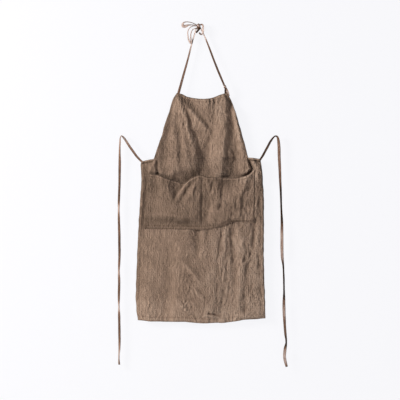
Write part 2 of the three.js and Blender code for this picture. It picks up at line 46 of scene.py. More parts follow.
# Camera: straight on to the front and far back, so the apron shows almost without perspective
VIEW_WIDTH = 1.48
VIEW_DISTANCE = 4.0
VIEW_MIDDLE = Vector((0.0055, -0.012, -0.642))
SENSOR_WIDTH = 36
camera_data = bpy.data.cameras.new("camera")
camera_data.sensor_width = SENSOR_WIDTH
camera_data.lens = SENSOR_WIDTH * VIEW_DISTANCE / VIEW_WIDTH
camera = bpy.data.objects.new("camera", camera_data)
camera.location = VIEW_MIDDLE - Vector((0, VIEW_DISTANCE, 0))
camera.rotation_euler = (math.radians(90), 0, 0)
bpy.context.scene.collection.objects.link(camera)
bpy.context.scene.camera = camera
bpy.context.scene.view_settings.view_transform = "Standard"


# Curves and tables
def smooth(start, end, value):
    """A soft step: 0 up to the start and 1 from the end on."""
    t = np.clip((value - start) / (end - start), 0, 1)
    return t * t * (3 - 2 * t)


def within(limits, value):
    """A soft step between two limits, or no limit at all."""
    return smooth(limits[0], limits[1], value) if limits else 1


def bell(away, half):
    """1 at no distance, falling off softly to both sides."""
    return np.exp(-(away / half) ** 2)


def ease(place, value, at):
    """A smooth curve through the values at those places."""
    place, value = np.asarray(place, float), np.asarray(value, float)
    if place[0] > place[-1]:
        place, value = place[::-1], value[::-1]
    slope = np.empty_like(value)
    slope[1:-1] = (value[2:] - value[:-2]) / (place[2:] - place[:-2])
    slope[0] = (value[1] - value[0]) / (place[1] - place[0])
    slope[-1] = (value[-1] - value[-2]) / (place[-1] - place[-2])
    at = np.clip(at, place[0], place[-1])
    i = np.clip(np.searchsorted(place, at, side="right") - 1, 0, len(place) - 2)
    run = place[i + 1] - place[i]
    t = (at - place[i]) / run
    rise = value[i + 1] - value[i]
    bend = t * (1 - t) * ((1 - t) * (slope[i] * run - rise) + t * (rise - slope[i + 1] * run))
    return value[i] + rise * t + bend


def table_of(columns, rows):
    """The rows of a table with its columns named, or a set of such tables under their own names. Last
    columns that a row leaves out stay as in the row before it."""
    if isinstance(rows, dict):
        return {name: table_of(columns, part) for name, part in rows.items()}
    row_type = namedtuple("Row", columns)
    table = [row_type(*rows[0])]
    for row in rows[1:]:
        table.append(row_type(*row, *table[-1][len(row):]))
    return table


def read_table(rows, column, at):
    """One column of a table, read smoothly along the first."""
    return ease([row[0] for row in rows], [getattr(row, column) for row in rows], at)


def grain(x, y, seed):
    """Smooth noise from -1 to 1 with one swing for each whole step."""
    xi, yi = np.floor(x), np.floor(y)
    xf, yf = x - xi, y - yi
    u = xf * xf * xf * (xf * (xf * 6 - 15) + 10)
    v = yf * yf * yf * (yf * (yf * 6 - 15) + 10)

    def corner(i, j):
        spun = np.sin((xi + i) * 127.1 + (yi + j) * 311.7 + seed * 74.7) * 43758.5453
        angle = (spun - np.floor(spun)) * 2 * np.pi
        return np.cos(angle) * (xf - i) + np.sin(angle) * (yf - j)

    top = corner(0, 0) * (1 - u) + corner(1, 0) * u
    bottom = corner(0, 1) * (1 - u) + corner(1, 1) * u
    return 1.5 * (top * (1 - v) + bottom * v)


# Materials
def linear(colour):
    """An sRGB hex colour as linear values."""
    parts = [int(colour[i:i + 2], 16) / 255 for i in (1, 3, 5)]
    return [p / 12.92 if p <= 0.04045 else ((p + 0.055) / 1.055) ** 2.4 for p in parts] + [1]


def add_node(tree, kind, values={}, links={}, **settings):
    """A node with its settings, its sockets' values and the outputs that feed them."""
    made = tree.nodes.new(kind)
    for key, value in settings.items():
        setattr(made, key, value)
    for socket, value in values.items():
        made.inputs[socket].default_value = value
    for socket, source in links.items():
        tree.links.new(source, made.inputs[socket])
    return made


# Sizes of the linen's patterns in millimetres, across and down where there are two. Single threads, some
# 0.6 mm apart, are too fine to show, so the weave is drawn as bands of them.
WARP_SLUB = (2.632, 41.67)
WEFT_SLUB = (33.33, 2.381)
FINE_CRINKLE = (4.762, 8.696)
DYE_CLOUD = 62.5
THREAD_BAND = 7.48
# What a wave texture turns through in one unit of length, in radians
WAVE_TURN = 20


def swings(across, down):
    """Swings to the metre of a pattern with that size."""
    return (1 / (across * MM), 1 / (down * MM), 1)


def washed_linen(name, shade, body, faded, slub):
    """Plain-weave linen, dyed and washed: matt and dry, with slubs along both threads, light and shade
    painted from an attribute of the cloth (paler on ridges, darker in hollows and along seams), and a fine
    crinkle left by washing."""
    material = bpy.data.materials.new(name)
    material.use_nodes = True
    tree = material.node_tree
    tree.nodes.clear()
    flat = add_node(tree, "ShaderNodeUVMap", uv_map="cloth").outputs["UV"]
    # Slubs: long thick places in each thread direction
    warp = add_node(tree, "ShaderNodeMapping", {"Scale": swings(*WARP_SLUB)}, {"Vector": flat})
    weft = add_node(tree, "ShaderNodeMapping", {"Scale": swings(*WEFT_SLUB)}, {"Vector": flat})
    warp_slub, weft_slub = [
        add_node(tree, "ShaderNodeTexNoise", {"Scale": 1, "Detail": 3, "Roughness": 0.6},
                 {"Vector": threads.outputs["Vector"]}) for threads in (warp, weft)]
    slubs = add_node(tree, "ShaderNodeMath", {1: 0.45},
                     {0: weft_slub.outputs["Fac"], 2: warp_slub.outputs["Fac"]}, operation="MULTIPLY_ADD")
    # Dye: soft clouds
    dye = add_node(tree, "ShaderNodeTexNoise",
                   {"Scale": 1 / (DYE_CLOUD * MM), "Detail": 6, "Roughness": 0.62}, {"Vector": flat})
    # Crinkle: creases finer than the folds that the cloth itself is shaped to
    creased = add_node(tree, "ShaderNodeMapping", {"Scale": swings(*FINE_CRINKLE)}, {"Vector": flat})
    crinkles = add_node(tree, "ShaderNodeTexNoise",
                        {"Scale": 1, "Detail": 4, "Roughness": 0.55, "Distortion": 0.6},
                        {"Vector": creased.outputs["Vector"]})
    # Weave: bands of threads both ways
    banding = {"Scale": 2 * math.pi / (WAVE_TURN * THREAD_BAND * MM), "Distortion": 1.2, "Detail": 2,
               "Detail Scale": 1.5}
    bands = [add_node(tree, "ShaderNodeTexWave", banding, {"Vector": flat}, wave_type="BANDS",
                      bands_direction=direction) for direction in ("X", "Y")]
    weave = add_node(tree, "ShaderNodeMath",
                     links={0: bands[0].outputs["Fac"], 1: bands[1].outputs["Fac"]}, operation="MULTIPLY")
    # Colour: from the darkest through the body colour to the palest, moved by the rubbing and the painted
    # light and shade of each place
    slub_tone = add_node(tree, "ShaderNodeMapRange",
                         {"From Min": 0.52, "From Max": 0.93, "To Min": 0.5 - slub, "To Max": 0.5 + slub},
                         {"Value": slubs.outputs["Value"]})
    dye_tone = add_node(tree, "ShaderNodeMapRange",
                        {"From Min": 0.3, "From Max": 0.7, "To Min": -0.16, "To Max": 0.16},
                        {"Value": dye.outputs["Fac"]})
    tone = add_node(tree, "ShaderNodeMath",
                    links={0: slub_tone.outputs["Result"], 1: dye_tone.outputs["Result"]}, operation="ADD")
    wear = add_node(tree, "ShaderNodeAttribute", attribute_name="wear")
    worn_and_shaded = add_node(tree, "ShaderNodeMath", {1: 0.5}, {0: wear.outputs["Fac"], 2: tone.outputs["Value"]},
                    operation="MULTIPLY_ADD")
    colour = add_node(tree, "ShaderNodeValToRGB", links={"Fac": worn_and_shaded.outputs["Value"]})
    ramp = colour.color_ramp
    ramp.elements[0].color = linear(shade)
    ramp.elements[1].color = linear(faded)
    ramp.elements.new(0.5).color = linear(body)
    # Relief: crinkle, weave and slubs, stronger where the cloth is more crumpled
    relief = add_node(tree, "ShaderNodeMath", {1: 0.08},
                      {0: weave.outputs["Value"], 2: crinkles.outputs["Fac"]}, operation="MULTIPLY_ADD")
    raised = add_node(tree, "ShaderNodeMath", {1: 0.14},
                      {0: slubs.outputs["Value"], 2: relief.outputs["Value"]}, operation="MULTIPLY_ADD")
    crumple = add_node(tree, "ShaderNodeAttribute", attribute_name="crumple")
    height = add_node(tree, "ShaderNodeMath",
                      links={0: raised.outputs["Value"], 1: crumple.outputs["Fac"]}, operation="MULTIPLY")
    bump = add_node(tree, "ShaderNodeBump", {"Strength": 1, "Distance": 4.8 * MM},
                    {"Height": height.outputs["Value"]})
    finish = {"Roughness": 0.92, "Specular IOR Level": 0.15, "Sheen Weight": 0.08, "Sheen Roughness": 0.6}
    shader = add_node(tree, "ShaderNodeBsdfPrincipled", finish,
                      {"Base Color": colour.outputs["Color"], "Normal": bump.outputs["Normal"]})
    add_node(tree, "ShaderNodeOutputMaterial", links={"Surface": shader.outputs["BSDF"]})
    return material


# The cloth of body and pocket: a soft brown that is uneven everywhere and never shines
LINEN = washed_linen("washed_plain_weave_linen", "#5e4d40", "#8a7464", "#ac9584", 0.15)
# Strips of the same linen, folded and pressed: deep brown where shade is painted on them and pale where a
# highlight is painted
TAPE = washed_linen("folded_linen_tape", "#46301f", "#7d604f", "#c5b1a9", 0.12)
# Twisted thread: a shade darker than the cloth, so that the stitches show as fine dashes
THREAD = washed_linen("twisted_linen_thread", "#54432f", "#6f594a", "#8f7767", 0.2)


def new_object(name, shape, material):
    """A smooth object at the origin, made from a shape that is then let go."""
    for face in shape.faces:
        face.smooth = True
    mesh = bpy.data.meshes.new(name)
    shape.to_mesh(mesh)
    shape.free()
    mesh.materials.append(material)
    piece = bpy.data.objects.new(name, mesh)
    bpy.context.scene.collection.objects.link(piece)
    return piece


def lay_cloth(name, points, flat, wear, crumple, keep, material, thickness):
    """A grid of cloth moved to its points, with its flat size as the map that the weave follows."""
    rows, columns = points.shape[0] - 1, points.shape[1] - 1
    cloth = bmesh.new()
    bmesh.ops.create_grid(cloth, x_segments=columns, y_segments=rows, size=0.5)
    worn_and_shaded = cloth.verts.layers.float.new("wear")
    creased = cloth.verts.layers.float.new("crumple")
    place = {}
    for vert in cloth.verts:
        place[vert] = (round((0.5 - vert.co.y) * rows), round((vert.co.x + 0.5) * columns))
    weave_map = cloth.loops.layers.uv.new("cloth")
    for face in cloth.faces:
        for loop in face.loops:
            loop[weave_map].uv = flat[place[loop.vert]]
    for vert, (r, c) in place.items():
        vert.co = points[r, c] * MM
        vert[worn_and_shaded] = wear[r, c]
        vert[creased] = crumple[r, c]
    if keep is not None:
        gone = [f for f in cloth.faces
                if not keep[min(place[v][0] for v in f.verts), min(place[v][1] for v in f.verts)]]
        bmesh.ops.delete(cloth, geom=gone, context="FACES")
    piece = new_object(name, cloth, material)
    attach(piece, "root")
    both_faces = piece.modifiers.new("thickness", "SOLIDIFY")
    both_faces.thickness = thickness * MM
    both_faces.offset = 0
    return piece


# Tapes: the paths of the ties. Roll turns the face of the tape away from the front, in degrees, and
# wide is a share of the tie width.
TIE_WIDTH = 8.5
TIE_THICKNESS = 1.2
TIE_COLUMNS = 7
TIE_BENDS = table_of("x z lift roll wide", {
    "waist_tie_left": [(-206, -503, 17.5, 10, 0.9), (-214, -496, 17, 20, 0.9), (-229, -480, 14, 20, 1),
        (-240, -465, 12, 10, 1), (-253, -447, 10.5, 5, 1), (-268, -424, 9, 15, 1),
        (-279, -409, 8, 40, 0.9), (-286, -404, 7, 65, 0.9), (-290, -412, 6, 60, 0.9),
        (-291, -428, 6, 50, 0.9), (-292, -458, 6, 45, 1), (-292, -512, 6, 10, 1.1),
        (-293, -586, 6, -10, 1), (-295, -645, 6, 5, 1), (-295.5, -675, 6, 40, 0.95),
        (-295, -716, 6, 10, 1), (-293.5, -770, 6, -5, 1.1), (-293, -850, 6, -10, 1.05),
        (-295, -905, 6, 40, 0.95), (-294, -945, 6, 0, 1.05), (-295, -1000, 6, 10, 1),
        (-295, -1035, 6, 55, 0.95), (-294, -1075, 6, 10, 1.05), (-293, -1141, 6, 0, 1.05),
        (-293, -1190, 6, 35, 1), (-295, -1223, 6, 60, 1), (-294, -1252, 6, 40, 1)],
    "waist_tie_right": [(226, -496, 9.5, 10, 0.9), (232, -487, 10, 20, 0.9), (239, -476, 11, 20, 1),
        (247, -461, 11, 15, 1), (257, -443, 11, 20, 1), (266, -426, 10, 25, 1), (276, -412, 9, 45, 0.9),
        (285, -405, 7, 60, 0.9), (292, -408, 6, 45, 1), (296, -421, 6, 25, 1.15), (298, -443, 6, 10, 1.3),
        (299, -479, 6, 10, 1.3), (301, -524, 6, 5, 1.2), (303, -575, 6, -10, 1.05),
        (305, -615, 6, -35, 1.05), (307, -680, 6, -40, 1.05), (309, -725, 6, -15, 1.15),
        (309, -780, 6, 10, 1.3), (310, -850, 6, 5, 1.25), (314, -885, 6, -40, 0.95),
        (316, -930, 6, -45, 1), (317, -985, 6, -40, 1), (316.5, -1020, 6, -10, 1.25),
        (317, -1055, 6, 5, 1.3), (319, -1095, 6, 0, 1.15), (322, -1138, 6, -15, 1.05),
        (325, -1168, 7, -45, 1), (320.5, -1195, 8, 10, 1.25), (318.5, -1219, 8, 10, 1.25),
        (321, -1238, 7, 5, 1.2), (327, -1260, 6, 0, 1)],
    "neck_tie_left": [(-75, -252, 10, 8, 1.1), (-73, -242.5, 9.5, 8, 1.1), (-61.5, -200, 8, 8, 1),
        (-50, -159, 6, 5, 0.9), (-38, -115, 5, -5, 0.75), (-27, -70, 5, -20, 0.6),
        (-16, -32, 6, -30, 0.55), (-8, -5, 4, -30, 0.5)],
    "neck_tie_right": [(97, -222, 12, 10, 0.8), (87, -198, 11, 14, 0.85), (73, -165, 9, 18, 0.9),
        (57, -124, 6, 15, 0.85), (41, -81, 4, 0, 0.75), (26, -43, 2, -35, 0.6), (8, -5, 0, -45, 0.5)],
    "corner_loop": [(101, -256, 8, 10, 0.95), (100, -244, 10, 10, 0.9), (99, -234, 10, 15, 0.7),
        (101, -227, 10.5, 20, 0.5), (104.5, -233, 11.5, 10, 0.7), (108.5, -245, 11, 10, 0.9),
        (112, -257, 7.5, 10, 0.9)],
    "bow_loop_upper": [(-4, 6, 2, 55, 0.5), (-25, 15.5, 4, 60, 0.6), (-40, 18, 5, 60, 0.7),
        (-52, 17, 6, 55, 0.9), (-58.5, 10, 7, 40, 1.1), (-57, 2, 8, 15, 1.3), (-48, 1.5, 9, -5, 1.3),
        (-38, 5.5, 9, -35, 0.9), (-27, 6.5, 8, -55, 0.7), (-6, 6, 5, -55, 0.5)],
    "bow_loop_lower": [(-6, 3, 5.5, 55, 0.45), (-23, 2, 7, 60, 0.55), (-34, -6, 8, 60, 0.6),
        (-39.5, -18, 8.5, 60, 0.65), (-39.5, -32, 9, 58, 0.7), (-37.5, -45, 9, 50, 0.75),
        (-33, -56, 9, 35, 0.8), (-28.5, -60.5, 9, 0, 0.8), (-27, -54, 9, -30, 0.75),
        (-29, -38, 8, -50, 0.65), (-27.5, -23, 7, -55, 0.6), (-22, -11, 6, -55, 0.55),
        (-6, -4, 5, -50, 0.45)],
    "bow_tail_long": [(4, 7, 2, 50, 0.55), (13, 8.5, 4, 50, 0.8), (16.5, 2, 6, 45, 0.9),
        (16, -10, 8, 40, 0.9), (16.5, -21, 9, 45, 0.9), (12, -28.5, 10, 45, 0.9), (6, -27, 10, 45, 0.9),
        (3, -22, 10, 40, 0.8)],
    "bow_tail_short": [(8, -3, 7, -35, 0.7), (-1, -13, 8, -35, 0.85), (-9, -23, 8, -30, 0.7)],
})
# Light and shade painted along the ties and the bow: darker for shade and paler for a highlight where they
# turn and twist, and pale over most of the bow; shares run along the tie
TIE_LIGHT_AND_SHADE = table_of("share fade", {
    "waist_tie_left": [(0, 0.3), (0.06, 0), (0.12, 0.45), (0.18, 0.1), (0.22, -0.25), (0.38, -0.25),
        (0.41, 0.35), (0.44, -0.2), (0.62, -0.2), (0.65, 0.3), (0.68, -0.2), (0.75, -0.1), (0.78, 0.5),
        (0.81, -0.2), (0.91, -0.1), (0.95, 0.5), (0.98, 0.1), (1, -0.6)],
    "waist_tie_right": [(0, -0.65), (0.12, -0.45), (0.15, 0.1), (0.24, 0), (0.3, -0.3), (0.34, -1.2),
        (0.4, -1.2), (0.44, -0.8), (0.47, 0.2), (0.59, 0.4), (0.61, -0.9), (0.72, -0.9), (0.75, 0.2),
        (0.79, 0.4), (0.83, 0), (0.88, -0.1), (0.913, -1), (0.935, 0.5), (0.98, 0.6), (1, -0.4)],
    "neck_tie_left": [(0, 0.1), (0.6, 0.1), (0.76, 1), (1, 1)],
    "neck_tie_right": [(0, -0.2), (0.75, 0), (0.88, 1.4), (1, 1.6)],
    "corner_loop": [(0, -1), (0.45, -1), (0.7, 0.6), (1, 0)],
    "bow_loop_upper": [(0, 0.9), (1, 0.7)],
    "bow_loop_lower": [(0, 0.8), (1, 0.8)],
    "bow_tail_long": [(0, 0), (0.4, 1), (0.7, 0.8), (1, 0.2)],
    "bow_tail_short": [(0, -1.4), (1, -1)],
})
TIES = table_of("name steps seed", [
    ("waist_tie_left", 260, 11), ("waist_tie_right", 260, 23), ("neck_tie_left", 70, 31),
    ("neck_tie_right", 70, 37), ("corner_loop", 30, 41), ("bow_loop_upper", 60, 43),
    ("bow_loop_lower", 70, 47), ("bow_tail_long", 40, 53), ("bow_tail_short", 16, 59),
])


def tape_line(bends, steps):
    """Points along the middle of a tape, its length at each, and its roll and width there."""
    knots = np.array([(b.x, -b.lift, b.z) for b in bends], float)
    reach = np.concatenate([[0], np.cumsum(np.linalg.norm(np.diff(knots, axis=0), axis=1))])
    at = np.linspace(0, reach[-1], steps + 1)
    middle = np.stack([ease(reach, knots[:, k], at) for k in range(3)], axis=1)
    roll = np.radians(ease(reach, [b.roll for b in bends], at))
    wide = ease(reach, [b.wide for b in bends], at)
    return middle, at, roll, wide


def hang_tape(name, bends, steps, seed, dye):
    """A flat tie that follows its bends, cupped a little and creased with use, with light and shade
    painted along it."""
    middle, at, roll, wide = tape_line(bends, steps)
    along = np.gradient(middle, axis=0)
    along /= np.linalg.norm(along, axis=1, keepdims=True)
    front = np.array([0, -1, 0]) - along * -along[:, 1:2]
    front /= np.linalg.norm(front, axis=1, keepdims=True)
    beside = np.cross(along, front)
    face = front * np.cos(roll)[:, None] + beside * np.sin(roll)[:, None]
    side = np.cross(along, face)
    reach, share = at[:, None], np.linspace(-1, 1, TIE_COLUMNS)[None, :]
    cup = 0.5 * (1 - share ** 2) * grain(reach / 70, share * 0, seed)
    crease = 0.35 * grain(reach / 16, share * 1.2, seed + 1) + 0.2 * grain(reach / 6, share * 2, seed + 2)
    edge = 1 + 0.06 * grain(reach / 30 + 0 * share, np.sign(share) * 3.0, seed + 3)
    half = TIE_WIDTH / 2 * wide[:, None]
    points = (middle[:, None, :] + side[:, None, :] * (share * half * edge)[..., None]
              + face[:, None, :] * (cup + crease)[..., None])
    flat = np.stack([share * half * MM + 0 * reach, reach * MM + 0 * share], axis=-1)
    # Light and shade painted along the tie from its table, and darker towards both edges
    wear = read_table(dye, "fade", reach / reach[-1]) - 0.5 * np.abs(share) ** 4
    piece = lay_cloth(name, points[:, ::-1], flat[:, ::-1], wear[:, ::-1], np.ones_like(wear), None,
                      TAPE, TIE_THICKNESS)
    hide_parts(name)
    return piece, middle


for tie in TIES:
    piece, middle = hang_tape(tie.name, TIE_BENDS[tie.name], tie.steps, tie.seed, TIE_LIGHT_AND_SHADE[tie.name])

# Body: the outline of bib and skirt
SIDES = "z left right"
BIB_SIDES = table_of(SIDES, [
    (-244, -79, 106), (-272, -96, 121), (-302, -105, 132), (-361, -124, 150), (-420, -142, 167),
    (-490, -166, 185),
])
SKIRT_SIDES = table_of(SIDES, [
    (-490, -207, 229), (-512, -213, 233), (-568, -211, 238), (-642, -216, 242), (-746, -222, 242),
    (-871, -228, 242), (-997, -232, 246), (-1042, -230, 247), (-1095, -224, 248),
])
LEVEL = "share z"
BIB_TOP = table_of(LEVEL, [
    (0, -246), (0.12, -250), (0.24, -260), (0.5, -268), (0.66, -265), (0.82, -254), (1, -244),
])
WAIST = table_of(LEVEL, [
    (0, -500), (0.03, -496), (0.094, -491), (0.5, -488), (0.899, -485), (1, -490),
])
HEM_LINE = table_of(LEVEL, [
    (0, -1086), (0.1, -1091), (0.36, -1093), (0.5, -1098), (0.62, -1097), (0.72, -1094), (0.84, -1085),
    (1, -1080),
])
# The bib rises between these shares of the waist, and leaves a wing at each side
ARMHOLE_LEFT, ARMHOLE_RIGHT = 0.094, 0.899
# Widths of the hems; their stitching runs a little inside the fold
ARMHOLE_HEM, BIB_TOP_HEM, WING_HEM, SIDE_HEM, BOTTOM_HEM = 8, 13, 9, 13, 18
STITCH_INSET = 2
CLOTH_THICKNESS = 1.2

# How far the cloth stands out at each height, how far its sides roll back and over what width, and the
# furthest that any of it goes back
BODY_LIFT = table_of("z lift roll", [
    (-244, 9, 1), (-380, 9, 1), (-440, 11, 1), (-500, 14, 1), (-545, 14, 1), (-600, 11, 2), (-680, 11, 2),
    (-760, 12, 2), (-950, 12, 2), (-1098, 11, 2),
])
ROLL_RUN = 38
BACK_LIMIT = -13

# Folds: places along the fold, its middle there, how far it stands out as a ridge or sinks as a valley,
# and its spread to the lower and to the higher side. Upright folds run along z, with x as the middle.
FOLD = "along middle lift low high"
BIB_FOLDS = table_of(FOLD, {
    "low left swell": [(-450, -150, 0, 52, 104), (-487, -150, 5), (-516, -150, 9),
        (-546, -150, 9, 67, 104), (-583, -150, 0, 74, 104)],
    "top plane ridge": [(-242, 31, 0, 33, 22), (-257, 31, 6, 33, 26), (-279, 31, 8, 33, 33),
        (-302, 31, 8, 37, 44), (-331, 28, 4), (-361, 20, 0, 33, 33)],
    "left edge valley": [(-268, -98, 0, 7, 15), (-302, -96, -2, 8, 15), (-331, -104, -3.5, 10, 15),
        (-361, -104, -5.5, 13, 18), (-390, -110, -6.5, 14, 24), (-420, -117, -7.5, 16, 30),
        (-450, -124, -7.5, 18, 33), (-479, -130, -7), (-509, -130, -6, 22, 33), (-538, -124, -4, 26, 30),
        (-575, -120, 0)],
    "corner ridge": [(-250, -80, 0, 18, 11), (-265, -74, 7, 30, 18), (-283, -63, 11, 41, 22),
        (-302, -46, 14, 50, 18), (-316, -30, 15, 48, 16), (-331, -15, 13, 37, 14),
        (-346, -1, 11.5, 41, 14), (-361, 13, 10.5, 48, 13), (-376, 26, 8.5, 44, 12),
        (-390, 35, 3.5, 30, 13), (-405, 43, 0, 15, 15)],
    "left deep valley": [(-270, -55, 0, 9, 11), (-287, -52, -4, 10, 12), (-309, -43, -8, 12, 15),
        (-331, -31, -11, 13, 37), (-361, -25, -13, 13, 74), (-390, -12, -14, 18, 81),
        (-420, 2, -17, 22, 96), (-450, 13, -21, 26, 118), (-479, 21, -25, 30, 126),
        (-509, 27, -28, 41, 126), (-538, 28, -31, 50, 111), (-561, 30, -25, 56, 96),
        (-598, 31, 0, 59, 81)],
    "left fan valley": [(-283, -81, 0, 6, 7), (-305, -78, -2.6, 7, 8), (-331, -80, -3.4, 7, 9),
        (-361, -79, -4.6, 8, 11), (-390, -74, -6.2, 9, 15), (-420, -70, -7.2, 10, 18),
        (-450, -68, -7.2, 11, 18), (-479, -66, -6), (-509, -61, -5, 17, 26), (-538, -56, -5, 22, 33),
        (-561, -50, -4, 30, 30), (-598, -46, 0)],
    "left middle crease": [(-331, -61, -1.5, 7, 7), (-361, -52, -2.5), (-390, -46, -3),
        (-420, -39, -3.5, 9, 9), (-450, -33, -4, 8, 9), (-479, -29, -4), (-509, -26, -2.5, 9, 11),
        (-546, -20, 0, 11, 11)],
    "centre drop valley": [(-361, 50, 0, 11, 11), (-383, 52, -4), (-405, 46, -5.5, 12, 12),
        (-427, 37, -6, 11, 15), (-457, 31, -5.5, 10, 18), (-494, 30, -3.5, 8, 18), (-538, 30, -3, 7, 18),
        (-583, 30, 0)],
    "bib plane ridge": [(-235, 102, 0, 22, 11), (-261, 102, 5.5, 24, 11), (-283, 98, 6, 24, 17),
        (-302, 95, 6.5, 24, 18), (-331, 95, 7.5, 22, 18), (-361, 95, 10, 22, 17),
        (-390, 95, 11.5, 30, 16), (-420, 91, 13, 33, 16), (-457, 87, 13, 33, 15), (-494, 83, 14, 37, 17),
        (-524, 81, 15, 41, 18), (-553, 78, 15, 41, 20), (-598, 78, 0, 48, 22)],
    "right edge valley": [(-261, 117, 0, 11, 11), (-290, 120, -2.5, 12, 9), (-331, 125, -4.5, 13, 9),
        (-361, 126, -6, 18, 11), (-390, 128, -5.5, 18, 13), (-424, 130, -6, 18, 15),
        (-457, 133, -9, 20, 20), (-494, 139, -14, 24, 28), (-531, 142, -17, 24, 33), (-561, 142, -16),
        (-598, 142, 0, 22, 30)],
    "right edge ridge": [(-287, 124, 0, 9, 6), (-316, 133, 5), (-361, 142, 5.5, 10, 6),
        (-405, 154, 5, 12, 6), (-450, 162, 4.5, 13, 6), (-494, 166, 3, 15, 7), (-538, 165, 2, 15, 11),
        (-583, 157, 0)],
    "right low crease": [(-479, 154, 0, 7, 6), (-512, 159, 1.5), (-546, 161, 1.2), (-583, 161, 0, 7, 7)],
    "corner gather one": [(-242, 102, 0, 4, 4), (-261, 105, -3), (-276, 113, -2.5, 6, 6), (-294, 118, 0)],
    "corner gather two": [(-242, 107, 0, 4, 4), (-265, 115, -5, 5, 5), (-287, 121, -3, 6, 6),
        (-313, 128, 0)],
    "top pucker one": [(-261, 39, 0, 4, 4), (-276, 43, -2.5, 5, 4), (-298, 48, 0, 6, 6)],
    "top pucker two": [(-261, 54, 0, 4, 4), (-276, 57, -2.5, 5, 4), (-298, 65, 0, 6, 6)],
})
WING_FOLDS = table_of(FOLD, {
    "right wing hollow": [(-483, 181, 0, 4, 5), (-498, 187, -12, 4, 6), (-512, 192, -16, 5, 8),
        (-527, 197, -18, 5, 9), (-542, 185, -16, 6, 9), (-557, 166, -12, 10, 12), (-583, 154, 0, 15, 7)],
    "right wing lip": [(-483, 196, 0, 4, 11), (-498, 202, 5), (-512, 209, 8, 4, 15),
        (-527, 213, 9, 4, 18), (-546, 211, 8, 4, 22), (-575, 204, 4, 6, 26), (-612, 198, 0, 7, 26)],
    "left wing step": [(-487, -153, 0, 4, 8), (-501, -154, -4), (-524, -154, -5), (-542, -152, -7),
        (-561, -151, 0, 5, 10)],
    "left wing strip": [(-483, -154, 0, 6, 6), (-498, -159, 1.5), (-520, -174, 2, 7, 7),
        (-542, -188, 1.2), (-572, -198, 0)],
})
SKIRT_FOLDS = table_of(FOLD, {
    "hem curl edge": [(-1049, 36, 0, 4, 7), (-1064, 38, -2), (-1079, 40, -3, 6, 7), (-1097, 44, -2.5)],
    "right strip ridge": [(-538, 218, 0, 11, 11), (-568, 216, 1.8), (-623, 215, 2), (-686, 215, 2),
        (-723, 216, 1.2), (-753, 220, 0)],
    "seam pull": [(-561, 13, 0, 22, 22), (-590, 14, 4), (-697, 12, 4), (-738, 11, 0)],
    "left side crease": [(-509, -185, 0, 8, 6), (-546, -189, -3), (-579, -191, -4), (-635, -195, -4),
        (-690, -199, -4), (-734, -202, -3), (-775, -202, 0, 9, 6)],
    "centre valley": [(-701, -1, 0, 22, 9), (-738, -1, -8.5, 24, 11), (-775, -1, -9.5, 22, 12),
        (-812, -2, -8, 16, 15), (-842, -3, -4, 13, 7), (-871, -4, 0, 11, 7)],
    "narrow crease": [(-723, 35, 0, 7, 7), (-753, 34, -3), (-783, 34, -2.5), (-816, 31, 0)],
    "third crease": [(-712, 89, 0, 8, 8), (-746, 88, -4), (-790, 83, -4), (-820, 78, -4, 7, 7),
        (-849, 74, -1.5), (-871, 72, 0)],
    "long valley": [(-701, 125, 0, 13, 17), (-738, 125, -7), (-768, 124, -8), (-790, 123, -8, 12, 17),
        (-820, 127, -8, 11, 17), (-849, 127, -8), (-908, 130, -5, 8, 15), (-968, 131, -3, 7, 11),
        (-1008, 131, 0)],
    "long valley branch": [(-790, 104, 0, 7, 9), (-820, 109, -2.5), (-849, 105, -2),
        (-879, 101, -2, 7, 11), (-908, 110, -4), (-938, 109, -1.5, 7, 9), (-968, 105, 0, 11, 7)],
    "bright ridge": [(-738, 146, 0, 11, 9), (-790, 162, 2.5, 13, 7), (-834, 161, 2.2, 17, 13),
        (-879, 161, 3, 13, 13), (-938, 157, 4, 11, 15), (-997, 152, 3.4, 11, 13),
        (-1042, 150, 3.2, 15, 13), (-1101, 146, 2, 15, 11)],
    "centre ridge": [(-827, 61, 0, 11, 11), (-879, 57, 1.5), (-938, 57, 3.5, 30, 11), (-975, 57, 4.2),
        (-1005, 58, 4.5, 30, 9), (-1034, 52, 4.6, 26, 9), (-1064, 43, 4.2, 20, 11),
        (-1101, 31, 2, 15, 15)],
    "corner valley": [(-694, 211, 0, 11, 9), (-738, 210, -7), (-768, 209, -6), (-797, 205, -5, 9, 9),
        (-827, 201, -3.5), (-857, 191, -2, 8, 9), (-879, 187, -3, 7, 7), (-908, 183, -3, 11, 9),
        (-938, 183, -2, 15, 9), (-975, 179, 0, 11, 11)],
    "edge crease": [(-820, 218, 0, 6, 6), (-849, 223, -2), (-879, 222, -3), (-908, 228, -2),
        (-953, 228, -1.5), (-997, 232, -3.5), (-1034, 233, 0)],
    "low crease": [(-938, 174, 0, 7, 7), (-968, 173, -1.8, 7, 8), (-997, 171, -3, 7, 9),
        (-1027, 175, -1.4, 9, 9), (-1056, 169, -1, 11, 9), (-1101, 165, -1)],
    "slant one": [(-857, -70, 0, 11, 7), (-882, -46, 3.5, 13, 7), (-908, -24, 4.5), (-934, -4, 3.5),
        (-956, 17, 0, 11, 7)],
    "slant two": [(-945, -37, 0, 11, 7), (-971, -11, 3, 13, 7), (-997, 11, 3), (-1023, 35, 0, 11, 7)],
    "slant three": [(-1005, -80, 0, 11, 7), (-1027, -67, 2.5, 13, 7), (-1045, -50, 3.5),
        (-1071, -30, 0, 11, 7)],
    "hem curl valley": [(-953, 95, 0, 7, 11), (-975, 95, -3, 9, 15), (-997, 93, -4.5, 11, 26),
        (-1027, 89, -4.5, 14, 30), (-1056, 87, -5, 18, 30), (-1101, 82, -2, 22, 22)],
    "left swell": [(-775, -172, 0, 30, 33), (-901, -179, 3, 33, 33), (-1101, -191, 5)],
    "left hollow": [(-768, -113, 0, 22, 26), (-901, -113, -3, 22, 30), (-1101, -124, -4)],
    "left middle swell": [(-760, -65, 0, 22, 22), (-871, -68, 3), (-1012, -80, 3, 22, 26),
        (-1101, -83, 3)],
})

